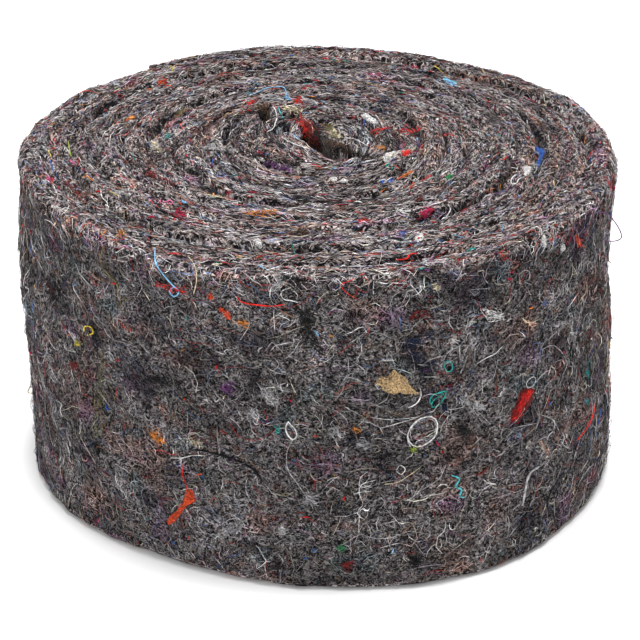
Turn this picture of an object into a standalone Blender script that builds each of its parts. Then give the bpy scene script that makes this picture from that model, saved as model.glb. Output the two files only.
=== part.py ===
"""Roll of thick recycled felt: one strip wound on itself, standing on its cut edge.

The strip is one solid. Its section is carried along a spiral path that runs counterclockwise and
outwards, seen from above, from a narrow eye to the uneven outline of the roll. Neighbouring turns
are pressed together, so they share one groove line, and each turn is a low crown between grooves.
The felt is as thick as the winding leaves each turn, 6 mm at the back to 8 mm at the front.
Units are metres, +Z is up, and the origin is the middle of the foot.
"""

import math

import bpy
import numpy as np

# Driving sizes
STRIP_WIDTH = 0.100
ROLL_RADIUS = 0.0895

# The path: steps round one turn, steps along the whole strip, and the bearing where it starts
STEPS_PER_TURN = 48
STRIP_STEPS = 555
START_BEARING = -75.0

# The eye that the first turn is folded round, and where it lies from the roll's axis
EYE_CENTRE = (0.0, 0.0115)
EYE_HALF_WIDTH = 0.0006
EYE_HALF_LENGTH = 0.0070

# Outline that the path reaches at the strip's outer end, as shares of the roll's radius.
# Columns: bearing, at the rim, at the foot
OUTLINE = (
    (0, 1.013, 1.027),
    (30, 1.009, 1.020),
    (60, 0.975, 1.010),
    (90, 1.008, 1.005),
    (120, 1.060, 1.020),
    (150, 1.080, 1.070),
    (180, 1.090, 1.073),
    (210, 1.055, 1.053),
    (240, 1.078, 1.008),
    (270, 1.038, 1.050),
    (300, 1.041, 1.085),
    (330, 1.024, 1.045),
)
RIM = 1
FOOT = 2

# A turn's section: its two shoulders as shares of the felt's thickness, and the dips beside them
SHOULDERS = (0.24, 0.76)
TOP_GROOVE = 0.0022
FOOT_GROOVE = 0.0012
TOP_ROUNDING = 0.0016
FOOT_ROUNDING = 0.0014

# The turns stand unevenly high. Columns: height, waves in each turn, phase
CROWN_WAVES = (
    (0.00075, 1.70, 0.6),
    (0.00050, 0.43, 2.1),
    (0.00035, 3.20, 4.0),
)

# Places where two turns gape. Columns: turn, bearing, half length in degrees, opening, depth
POCKETS = (
    (1, 128.0, 26.0, 0.0050, 0.0110),
    (2, -48.0, 20.0, 0.0012, 0.0040),
    (2, 35.0, 16.0, 0.0010, 0.0030),
)
POCKET_LIP = 0.012
POCKET_REACH = 0.16

# Soft lumps in the side wall. Columns: height, waves round the roll, waves up it, phase
WALL_LUMPS = (
    (0.0009, 3, 1.0, 0.9),
    (0.0006, 7, 2.0, 2.2),
)
WALL_ROWS = 8
EYE_ROWS = 4

SMOOTH_ANGLE = math.radians(50.0)
FELT_COLOUR = (0.085, 0.075, 0.078, 1.0)
FELT_ROUGHNESS = 0.95

PATH_STEPS = STRIP_STEPS + STEPS_PER_TURN
DEGREES_PER_STEP = 360.0 / STEPS_PER_TURN


def clear_scene():
    for old in list(bpy.data.objects):
        bpy.data.objects.remove(old, do_unlink=True)


def felt_material():
    felt = bpy.data.materials.new("recycled_felt")
    felt.use_nodes = True
    shader = felt.node_tree.nodes["Principled BSDF"]
    shader.inputs["Base Color"].default_value = FELT_COLOUR
    shader.inputs["Roughness"].default_value = FELT_ROUGHNESS
    shader.inputs["Metallic"].default_value = 0.0
    return felt


def outline_share(bearing, column):
    """One column of the outline at any bearing: a smooth cubic between rows, closed on itself."""
    shares = np.array(OUTLINE)[:, column]
    place = bearing % 360.0 / 360.0 * len(shares)
    row = np.floor(place).astype(int)
    part = place - row
    before, here, after, beyond = (shares[(row + k) % len(shares)] for k in (-1, 0, 1, 2))
    bend = 2.0 * before - 5.0 * here + 4.0 * after - beyond
    twist = 3.0 * (here - after) + beyond - before
    return here + 0.5 * part * (after - before + part * (bend + part * twist))


def swell(distance):
    """1 at no distance, falling smoothly to 0 at a distance of 1."""
    return np.where(np.abs(distance) < 1.0, np.cos(distance * math.pi / 2.0) ** 2, 0.0)


def pocket_steps(turn, bearing):
    """Steps along the path to the middle of a pocket."""
    return (360.0 * turn + bearing - START_BEARING) / DEGREES_PER_STEP


def pocket_depth(step):
    """How much deeper the pockets make the groove at a step of the path."""
    depth = np.zeros(len(step))
    for turn, bearing, half_length, _, deepest in POCKETS:
        along = (step - pocket_steps(turn, bearing)) * DEGREES_PER_STEP
        depth += deepest * swell(along / half_length)
    return depth


def pocket_push(step, share):
    """Outward push on the turns beyond a pocket and inward push on those within it, which fade
    away from the pocket."""
    push = np.zeros(len(step))
    for turn, bearing, half_length, opening, _ in POCKETS:
        middle = pocket_steps(turn, bearing)
        half_turn = STEPS_PER_TURN / 2.0
        along = (step - middle + half_turn) % STEPS_PER_TURN - half_turn
        away = share - (middle + along) / PATH_STEPS
        lip = np.clip(away / POCKET_LIP, -1.0, 1.0)
        fading = np.exp(-np.abs(away) / POCKET_REACH)
        push += 0.5 * opening * swell(along * DEGREES_PER_STEP / half_length) * lip * fading
    return push


def plan_points(step, across, column):
    """Places in plan at steps along the path and shares of the felt's thickness. At each bearing a
    straight line runs from the eye to the outline, and a point lies on it by its share of the path."""
    bearing = START_BEARING + DEGREES_PER_STEP * step
    way = np.stack((np.cos(np.radians(bearing)), np.sin(np.radians(bearing))), axis=1)
    share = ((step + across * STEPS_PER_TURN) / PATH_STEPS)[:, None]
    eye = np.array(EYE_CENTRE) + way * (EYE_HALF_WIDTH, EYE_HALF_LENGTH)
    outline = way * ROLL_RADIUS * outline_share(bearing, column)[:, None]
    push = way * pocket_push(step, share[:, 0])[:, None]
    return (1.0 - share) * eye + share * outline + push


def crown_height(step):
    """Height of the turn's crown at a step of the path: the strip's width with a few slow waves."""
    turned = np.radians(DEGREES_PER_STEP * step)
    waves = sum(height * np.sin(count * turned + phase) for height, count, phase in CROWN_WAVES)
    return STRIP_WIDTH + waves


def edge_lines(column, top):
    """Points of the groove line and the two shoulder lines, one after another, on the top cut edge
    or on the foot."""
    groove_step = np.arange(PATH_STEPS + 1)
    strip_step = np.arange(STRIP_STEPS + 1)
    inside = np.where(groove_step < STEPS_PER_TURN, groove_step, groove_step - STEPS_PER_TURN)
    outside = np.where(groove_step > STRIP_STEPS, groove_step - STEPS_PER_TURN, groove_step)
    is_edge = (groove_step <= STEPS_PER_TURN) | (groove_step >= STRIP_STEPS)
    if top:
        dip = np.where(is_edge, TOP_ROUNDING, TOP_GROOVE + pocket_depth(groove_step))
        groove_height = (crown_height(inside) + crown_height(outside)) / 2.0 - dip
        shoulder_height = crown_height(strip_step)
    else:
        groove_height = np.where(is_edge, FOOT_ROUNDING, FOOT_GROOVE)
        shoulder_height = np.zeros(len(strip_step))
    plans = [plan_points(groove_step, 0.0, column)]
    plans += [plan_points(strip_step, across, column) for across in SHOULDERS]
    heights = (groove_height, shoulder_height, shoulder_height)
    return np.concatenate([np.column_stack(line) for line in zip(plans, heights)])


def line_numbers(first):
    """Vertex numbers of the groove line and the two shoulder lines that edge_lines lays down."""
    groove = first + np.arange(PATH_STEPS + 1)
    inner = groove[-1] + 1 + np.arange(STRIP_STEPS + 1)
    outer = inner[-1] + 1 + np.arange(STRIP_STEPS + 1)
    return groove, inner, outer


def cut_edge_faces(lines, top):
    """Three bands of quads along the strip: groove to shoulder, shoulder to shoulder, and shoulder
    to the groove one turn further on."""
    groove, inner, outer = lines
    bands = ((groove[: STRIP_STEPS + 1], inner), (inner, outer), (outer, groove[STEPS_PER_TURN:]))
    quads = np.concatenate([np.stack((a[:-1], b[:-1], b[1:], a[1:]), axis=1) for a, b in bands])
    return quads if top else quads[:, ::-1]


def wall_loop(lines, first_step):
    """Vertex numbers round one face of the roll: a turn of the groove line, then back across the
    strip's square cut end."""
    groove, inner, outer = lines
    turn = groove[first_step : first_step + STEPS_PER_TURN + 1]
    return np.concatenate((turn, (outer[first_step], inner[first_step])))


def wall_points(foot, rim, rows, lumps):
    """Points between a foot loop and a rim loop, row by row, pushed in and out by soft lumps that
    die away towards both edges."""
    up = np.arange(1, rows)[:, None] / rows
    points = foot[None] * (1.0 - up[..., None]) + rim[None] * up[..., None]
    bearing = np.arctan2(points[..., 1], points[..., 0])
    push = np.zeros(bearing.shape)
    for height, round_waves, up_waves, phase in lumps:
        push += height * np.sin(round_waves * bearing + math.tau * up_waves * up + phase)
    push *= np.sin(math.pi * up)
    points[..., 0] += push * np.cos(bearing)
    points[..., 1] += push * np.sin(bearing)
    return points.reshape(-1, 3)


def wall_faces(foot_loop, rim_loop, first, rows, outward):
    """Quads between the rows of a closed wall whose middle rows start at vertex number first."""
    middle = first + np.arange((rows - 1) * len(foot_loop)).reshape(rows - 1, -1)
    loops = np.vstack((foot_loop, middle, rim_loop))
    low, high = loops[:-1], loops[1:]
    corners = (low, np.roll(low, -1, axis=1), np.roll(high, -1, axis=1), high)
    quads = np.stack(corners, axis=-1).reshape(-1, 4)
    return quads if outward else quads[:, ::-1]


def roll_geometry():
    """Points and quads of the whole strip: both cut edges, the outer wall and the eye's wall, each
    wall with the square cut end of the strip in it."""
    foot_lines = line_numbers(0)
    rim_lines = line_numbers(foot_lines[2][-1] + 1)
    points = np.concatenate((edge_lines(FOOT, False), edge_lines(RIM, True)))
    faces = [cut_edge_faces(foot_lines, False), cut_edge_faces(rim_lines, True)]
    walls = ((STRIP_STEPS, WALL_ROWS, WALL_LUMPS, True), (0, EYE_ROWS, (), False))
    for first_step, rows, lumps, outward in walls:
        foot_loop = wall_loop(foot_lines, first_step)
        rim_loop = wall_loop(rim_lines, first_step)
        faces.append(wall_faces(foot_loop, rim_loop, len(points), rows, outward))
        middle = wall_points(points[foot_loop], points[rim_loop], rows, lumps)
        points = np.concatenate((points, middle))
    box_middle = (points.min(axis=0) + points.max(axis=0)) / 2.0
    points[:, :2] -= box_middle[:2]
    return points, np.concatenate(faces)


def make_roll():
    points, faces = roll_geometry()
    mesh = bpy.data.meshes.new("felt_roll")
    mesh.from_pydata(points.tolist(), [], faces.tolist())
    mesh.shade_smooth()
    mesh.set_sharp_from_angle(angle=SMOOTH_ANGLE)
    mesh.materials.append(felt_material())
    roll = bpy.data.objects.new("felt_roll", mesh)
    bpy.context.collection.objects.link(roll)
    return roll


clear_scene()
make_roll()
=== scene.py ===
"""Roll of thick recycled felt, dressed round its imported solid.

The file is laid out as an add-on and is run as a script. The strip is wound again as a fine surface
on the solid's own form, with its torn cut edge and its flat faces. Loose fibres, fluff, scraps and
stray threads are laid on that surface as joined meshes. Units are metres, +Z is up.
"""

import math

import bmesh
import bpy
import numpy as np
from bpy.props import FloatProperty, FloatVectorProperty, IntProperty, PointerProperty
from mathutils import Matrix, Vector
from mathutils.bvhtree import BVHTree


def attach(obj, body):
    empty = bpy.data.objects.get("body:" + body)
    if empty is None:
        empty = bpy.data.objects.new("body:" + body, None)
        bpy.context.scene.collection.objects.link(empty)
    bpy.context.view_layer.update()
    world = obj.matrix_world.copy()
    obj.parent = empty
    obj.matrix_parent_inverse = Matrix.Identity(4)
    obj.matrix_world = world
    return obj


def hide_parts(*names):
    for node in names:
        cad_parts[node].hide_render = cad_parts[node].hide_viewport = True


bl_info = {
    "name": "Felt roll",
    "version": (1, 0, 0),
    "blender": (4, 5, 0),
    "location": "3D View > Sidebar > Felt roll",
    "description": "Winds a strip of recycled felt and dresses it with fibres, fluff and threads",
    "category": "Add Mesh",
}

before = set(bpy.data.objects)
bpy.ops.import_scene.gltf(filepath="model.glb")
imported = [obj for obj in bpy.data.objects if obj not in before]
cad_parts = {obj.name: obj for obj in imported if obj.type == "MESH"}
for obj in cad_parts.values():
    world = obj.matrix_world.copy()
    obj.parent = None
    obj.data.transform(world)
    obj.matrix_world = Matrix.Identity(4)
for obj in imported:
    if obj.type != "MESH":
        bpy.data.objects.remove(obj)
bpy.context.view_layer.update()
NODE = "felt_roll"
BODY = "root"

# The winding, as the solid has it
STRIP_WIDTH = 0.100
ROLL_RADIUS = 0.0895
TURNS = 555.0 / 48.0
START_BEARING = -75.0
EYE_CENTRE = (0.0, 0.0115)
EYE_HALF_WIDTH = 0.0006
EYE_HALF_LENGTH = 0.0070

# The twist of the strip's inner end
SWIRL = math.radians(40.0)
SWIRL_REACH = 0.017

# Where the winding's axis lies in the frame, whose origin is the middle of the solid's box
AXIS = (0.00108, -0.00042)

# Outline that the strip reaches at its outer end, as shares of the roll's radius.
# Columns: bearing, at the rim, at the foot
OUTLINE = (
    (0, 1.013, 1.027),
    (30, 1.009, 1.020),
    (60, 0.975, 1.010),
    (90, 1.008, 1.005),
    (120, 1.060, 1.020),
    (150, 1.080, 1.070),
    (180, 1.090, 1.073),
    (210, 1.055, 1.053),
    (240, 1.078, 1.008),
    (270, 1.038, 1.050),
    (300, 1.041, 1.085),
    (330, 1.024, 1.045),
)
RIM = 1
FOOT = 2

# The section of one turn: how wide its rounded shoulders are, and the dips beside them
SHOULDER = 0.31
TOP_GROOVE = 0.0022
FOOT_GROOVE = 0.0012
TOP_ROUNDING = 0.0016
FOOT_ROUNDING = 0.0014

# The turns stand unevenly high. Columns: height, waves in each turn, phase
CROWN_WAVES = (
    (0.00075, 1.70, 0.6),
    (0.00050, 0.43, 2.1),
    (0.00035, 3.20, 4.0),
)

# Places where two turns gape. Columns: turn, bearing, half length in degrees, opening, depth
POCKETS = (
    (1, 128.0, 26.0, 0.0050, 0.0110),
    (2, -48.0, 20.0, 0.0012, 0.0040),
    (2, 35.0, 16.0, 0.0010, 0.0030),
)
POCKET_LIP = 0.012
POCKET_REACH = 0.16

# Soft lumps in the side wall. Columns: height, waves round the roll, waves up it, phase
WALL_LUMPS = (
    (0.0009, 3, 1.0, 0.9),
    (0.0006, 7, 2.0, 2.2),
)

# The fine surface's grid
STEPS_PER_TURN = 336
STRIP_STEPS = round(TURNS * STEPS_PER_TURN)
EDGE_LINES = (0.05, 0.16, 0.32, 0.50, 0.68, 0.84, 0.95)
WALL_ROWS = 76
EYE_ROWS = 6

# Lumps that the whole winding is squeezed into, and the felt's last stretch, which is pressed thinner
LUMP_HEIGHT = 0.00055
LUMP_GRAIN = 0.0050
END_STRETCH = 0.045
END_THINNING = 0.50

# Hollows between the layers near the eye.
# Columns: pixels of the middle, half width and half height in pixels, depth
HOLLOWS = (
    (265, 111, 8, 11, 0.0080),
    (294, 115, 9, 4, 0.0030),
    (352, 151, 20, 5, 0.0040),
)
# Depth of a hollow at which its painted shade in the felt's colour is full
HOLLOW_SHADE_DEPTH = 0.006

# Whole numbers that mix a cell's coordinates and a seed into the fixed number of the grains
CELL_FACTORS = (374761393, 668265263, 362437)
SEED_FACTOR = 974711
MIXING_FACTOR = 1274126177
LOW_BITS = 0xFFFF

# Seeds of the grains
LUMP_SEEDS = (17, 19)
GROOVE_SEED = 5
GROOVE_SHADE_SEED = 7
EDGE_RELIEF_SEED = 11
WALL_RELIEF_SEED = 21
EDGE_PATCH_SEED = 101
WALL_PATCH_SEED = 201
TINT_SEED_STEP = 50
FLOW_SEED = 301

# Seeds of the random draws
WALL_DRAWS = 31
EDGE_DRAWS = 47
SCRAP_DRAWS = 59
CHIP_DRAWS = 73
THREAD_DRAWS = 67

# Torn relief of the cut edge and of the flat faces.
# Columns: height, grain along the strip, grain across it
EDGE_RELIEF = (
    (0.00085, 0.0160, 0.0021),
    (0.00055, 0.0040, 0.0014),
)
WALL_RELIEF = (
    (0.00060, 0.0110, 0.0110),
    (0.00035, 0.0040, 0.0040),
)

# How far the relief of each turn is shifted from the turn before it, in widths of the felt's layer,
# and how unevenly deep the grooves are
LAYER_SHIFT = 1.37
GROOVE_GRAIN = 0.014
GROOVE_UNEVENNESS = 0.75

# How the felt's colour spreads from the cut edges, and how the painted shade of the grooves spreads from
# them
EDGE_FADE = 0.0035
EDGE_SQUEEZE = 0.50
GROOVE_SHARE = 0.10
GROOVE_SHADE = 0.70
GROOVE_SHADE_GRAIN = 0.022
GROOVE_PAINTED_SHADE = 0.85

# Where the parts of the surface lie in the unit square that its colours are baked into
MAP_SCALE = 2.5
FOOT_MAP_PLACE = (0.245, 0.765)
RIM_MAP_PLACE = (0.715, 0.765)
WALL_MAP_PLACES = ((0.012, 0.012), (0.012, 0.274))
EYE_MAP_PLACE = (0.760, 0.012)
EYE_MAP_SQUEEZE = 0.13
MAP_CELL_MARGIN = 0.08
MAP_END_SHARE = 0.8

# Strokes of pale and of dark fibre in the felt. Columns: angle, length and width in millimetres, start
PALE_STROKES = (
    (0.25, 2.5, 0.35, (0.0, 0.0, 0.0)),
    (1.30, 2.2, 0.33, (31.0, 7.0, 0.0)),
    (-0.60, 2.4, 0.35, (11.0, 53.0, 0.0)),
    (-1.10, 2.2, 0.33, (71.0, 29.0, 0.0)),
)
DARK_STROKES = (
    (0.75, 2.5, 0.38, (43.0, 19.0, 0.0)),
    (-0.25, 2.4, 0.36, (17.0, 83.0, 0.0)),
    (-0.95, 2.4, 0.38, (61.0, 37.0, 0.0)),
)

# Hair lines in the felt. Columns: angle, length and width of the noise in millimetres, start
HAIR_LINES = (
    (0.10, 4.0, 1.3, (5.0, 90.0, 0.0)),
    (0.90, 3.4, 1.2, (47.0, 15.0, 0.0)),
    (-0.80, 3.8, 1.4, (23.0, 66.0, 0.0)),
)

# Patches of lighter, darker and tinted felt. Columns of the shades: strength, grain along and across.
# Columns of the tints: grain along and across, where the noise begins to tint, colour
WALL_SHADES = ((0.42, 0.0110, 0.0100), (0.36, 0.0045, 0.0040))
EDGE_SHADES = ((0.55, 0.0260, 0.0016), (0.45, 0.0070, 0.0018))
WALL_TINTS = (
    (0.0120, 0.0100, 0.38, (0.50, 0.49, 0.54)),
    (0.0055, 0.0050, 0.46, (0.30, 0.29, 0.32)),
    (0.0130, 0.0070, 0.32, (1.14, 0.92, 0.85)),
    (0.0060, 0.0040, 0.46, (1.15, 0.86, 0.78)),
    (0.0090, 0.0080, 0.45, (1.06, 0.84, 1.10)),
    (0.0100, 0.0090, 0.40, (1.32, 1.34, 1.38)),
    (0.0048, 0.0042, 0.48, (2.10, 2.15, 2.25)),
    (0.0080, 0.0080, 0.42, (0.84, 1.02, 1.06)),
)
EDGE_TINTS = (
    (0.0200, 0.0018, 0.34, (0.42, 0.41, 0.45)),
    (0.0050, 0.0014, 0.46, (0.34, 0.32, 0.34)),
    (0.0220, 0.0016, 0.32, (1.16, 0.93, 0.83)),
    (0.0060, 0.0014, 0.50, (1.36, 0.90, 0.72)),
    (0.0160, 0.0015, 0.44, (1.10, 0.82, 1.12)),
    (0.0180, 0.0016, 0.36, (1.35, 1.36, 1.36)),
    (0.0040, 0.0012, 0.50, (1.90, 1.90, 1.88)),
    (0.0140, 0.0015, 0.45, (0.82, 1.00, 1.12)),
)

# How far a tint's noise rises until the tint is full, and the cut edges' own tint
TINT_RISE = 0.25
EDGE_TINT = (1.46, 1.39, 1.37)

# Colours of the flecks
FLECK_COLOURS = (
    (0.66, 0.64, 0.62),
    (0.42, 0.03, 0.03),
    (0.05, 0.18, 0.42),
    (0.56, 0.50, 0.36),
    (0.02, 0.22, 0.22),
    (0.02, 0.02, 0.03),
    (0.50, 0.17, 0.04),
    (0.62, 0.60, 0.61),
    (0.36, 0.02, 0.10),
    (0.20, 0.18, 0.05),
)

# How the marks are mixed in the felt's material. A range gives the noise's values where a mark begins
# and where it is full, and then, if they aren't nought and one, the mark's own values there
WANDER_SCALE = 0.45
WALL_WANDER = 3.0
EDGE_WANDER = 1.1
PALE_RANGE = (0.52, 0.62)
PALE_SHARE = 0.94
LEAST_LIGHT = 0.07
DARK_RANGE = (0.50, 0.60)
DARK_SHARE = 0.98
HAIR_RANGE = (0.0, 0.040, 1.0, 0.0)
HAIR_GAP_SCALE = 0.9
HAIR_GAP_RANGE = (0.40, 0.62)
HAIR_SHARE = 0.7
HAIR_RISE = 0.4
SPECKLE_SCALE = 2.1
SPECKLE_ROUGHNESS = 0.6
SPECKLE_RANGE = (0.36, 0.64, 0.25, 1.68)
LAYER_RANGE = (0.36, 0.56, 0.35, 1.12)
FLECK_RANGE = (0.07, 0.14, 1.0, 0.0)
FLECK_SHARE = 0.75
FELT_BUMP = {"Strength": 0.9, "Distance": 0.0010}
FELT_ROUGHNESS = 0.92
FELT_SHEEN = 0.01
SHEEN_ROUGHNESS = 0.5
SPECULAR = 0.05

# The fibres' material. Columns of a finish: sheen, scale of its grain, shade of the grain's dark parts
LOOSE_FINISH = (0.01, 900.0, 0.55)
SCRAP_FINISH = (0.10, 900.0, 0.55)
MATTED_FINISH = (0.05, 2600.0, 0.20)
FIBRE_GRAIN_RANGE = (0.3, 0.7)
FIBRE_PALEST = 1.30
FIBRE_BUMP = {"Strength": 0.4, "Distance": 0.0001}
FIBRE_BUMP_SCALE = 5000.0
FIBRE_ROUGHNESS = 0.7
TWIST_BUMP = {"Strength": 0.6, "Distance": 0.0001}
ONE_WAVE = math.tau / 10.0

# The felt's layers, which show as fine lines along its cut edges: length and width in millimetres
LAYER_LENGTH = 11.0
LAYER_WIDTH = 1.1
LAYER_START = (3.0, 51.0, 0.0)

# Flecks of colour in the felt. Columns: cells in each millimetre, share of cells with a fleck, start
FLECKS = (
    (0.20, 0.42, (0.0, 0.0, 0.0)),
    (0.34, 0.34, (37.0, 91.0, 0.0)),
)

# Loose fibres: knots along them, how much they bend, and how their headings flow and spread
FIBRE_KNOTS = 4
EDGE_KNOTS = 3
HAIR_KNOTS = 9
FIBRE_BEND = 1.3
HAIR_BEND = 2.4
FLOW_GRAIN = 0.022
FLOW_SPREAD = 1.0
EDGE_SPREAD = 0.28
EDGE_BEND = 0.6
RIM_SPREAD = 0.0022
FIRST_SIDE = (0.31, -0.52, 0.79)

# How far fibres stay from the strip's ends and from the wall's edges, and the fewest turns from the
# eye that a fibre is bent round
RIM_MARGIN = 0.01
EDGE_MARGIN = 0.004
FIRST_FIBRES = 0.6

# Scraps' fibres and threads
SCRAP_RADIUS = 0.00009
SCRAP_SPREAD = 0.40
THREAD_LIFT = 0.00012
TWIST_LENGTH = 0.0007

# Kinds of loose fibre. Columns: how common, then red, green and blue
FIBRE_KINDS = (
    (0.27, 0.46, 0.44, 0.45),
    (0.14, 0.17, 0.155, 0.16),
    (0.32, 0.009, 0.008, 0.010),
    (0.07, 0.17, 0.085, 0.050),
    (0.05, 0.17, 0.09, 0.15),
    (0.06, 0.06, 0.10, 0.20),
    (0.05, 0.30, 0.030, 0.025),
    (0.04, 0.62, 0.56, 0.44),
)

# How the fibres' colours vary, how far they may go, and how bright each kind is beside its felt
FIBRE_SHADES = 0.35
FIBRE_LIMITS = (0.002, 0.80)
WALL_BRIGHTNESS = 0.97
HAIR_BRIGHTNESS = 0.74
HAIR_WIDTH = 0.75
EDGE_BRIGHTNESS = 1.05

# Lengths of fibres as shares of the usual length. For the wall and the cut edges: mean and spread of
# the logarithm. For the long hairs and the rim: least and most
WALL_FIBRE_LENGTHS = (-0.45, 0.45)
EDGE_FIBRE_LENGTHS = (-0.95, 0.40)
LONG_HAIR_LENGTHS = (1.4, 3.2)
RIM_FIBRE_LENGTHS = (0.4, 1.0)

# How fibres stand off the felt: least and most, and the usual arch
WALL_LIFT = (0.00002, 0.00035, 0.00022)
EDGE_LIFT = (0.00002, 0.00030, 0.00015)
RIM_LIFT = (0.00003, 0.00030, 0.00020)
SCRAP_LIFT = (0.00010, 0.00060, 0.00020)
STREWN_THREAD_LIFT = (0.00010, 0.00040, 0.00050)

# How widths vary, and how they narrow to both ends: where the sine begins, and its power
RADIUS_SPREAD = 0.30
THREAD_UNEVENNESS = 0.12
FIBRE_TAPER = (0.06, 0.40)
THREAD_TAPER = (0.04, 0.25)

# Yarn and scrap colours
YARNS = {
    "white": (0.62, 0.61, 0.60),
    "pale": (0.36, 0.35, 0.36),
    "grey": (0.22, 0.22, 0.23),
    "cream": (0.56, 0.48, 0.33),
    "yellow": (0.66, 0.52, 0.05),
    "lime": (0.32, 0.42, 0.05),
    "green": (0.03, 0.20, 0.08),
    "teal": (0.02, 0.26, 0.24),
    "turquoise": (0.08, 0.42, 0.46),
    "sky": (0.20, 0.42, 0.66),
    "blue": (0.03, 0.10, 0.38),
    "navy": (0.008, 0.012, 0.035),
    "purple": (0.13, 0.04, 0.15),
    "pink": (0.62, 0.14, 0.30),
    "magenta": (0.48, 0.03, 0.17),
    "red": (0.58, 0.02, 0.015),
    "scarlet": (0.44, 0.010, 0.010),
    "crimson": (0.38, 0.015, 0.05),
    "dark_red": (0.15, 0.012, 0.01),
    "vermilion": (0.62, 0.07, 0.02),
    "orange": (0.55, 0.20, 0.04),
    "peach": (0.62, 0.38, 0.28),
    "ochre": (0.47, 0.32, 0.165),
    "brown": (0.06, 0.032, 0.018),
    "olive": (0.16, 0.14, 0.06),
    "black": (0.006, 0.006, 0.007),
}

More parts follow.
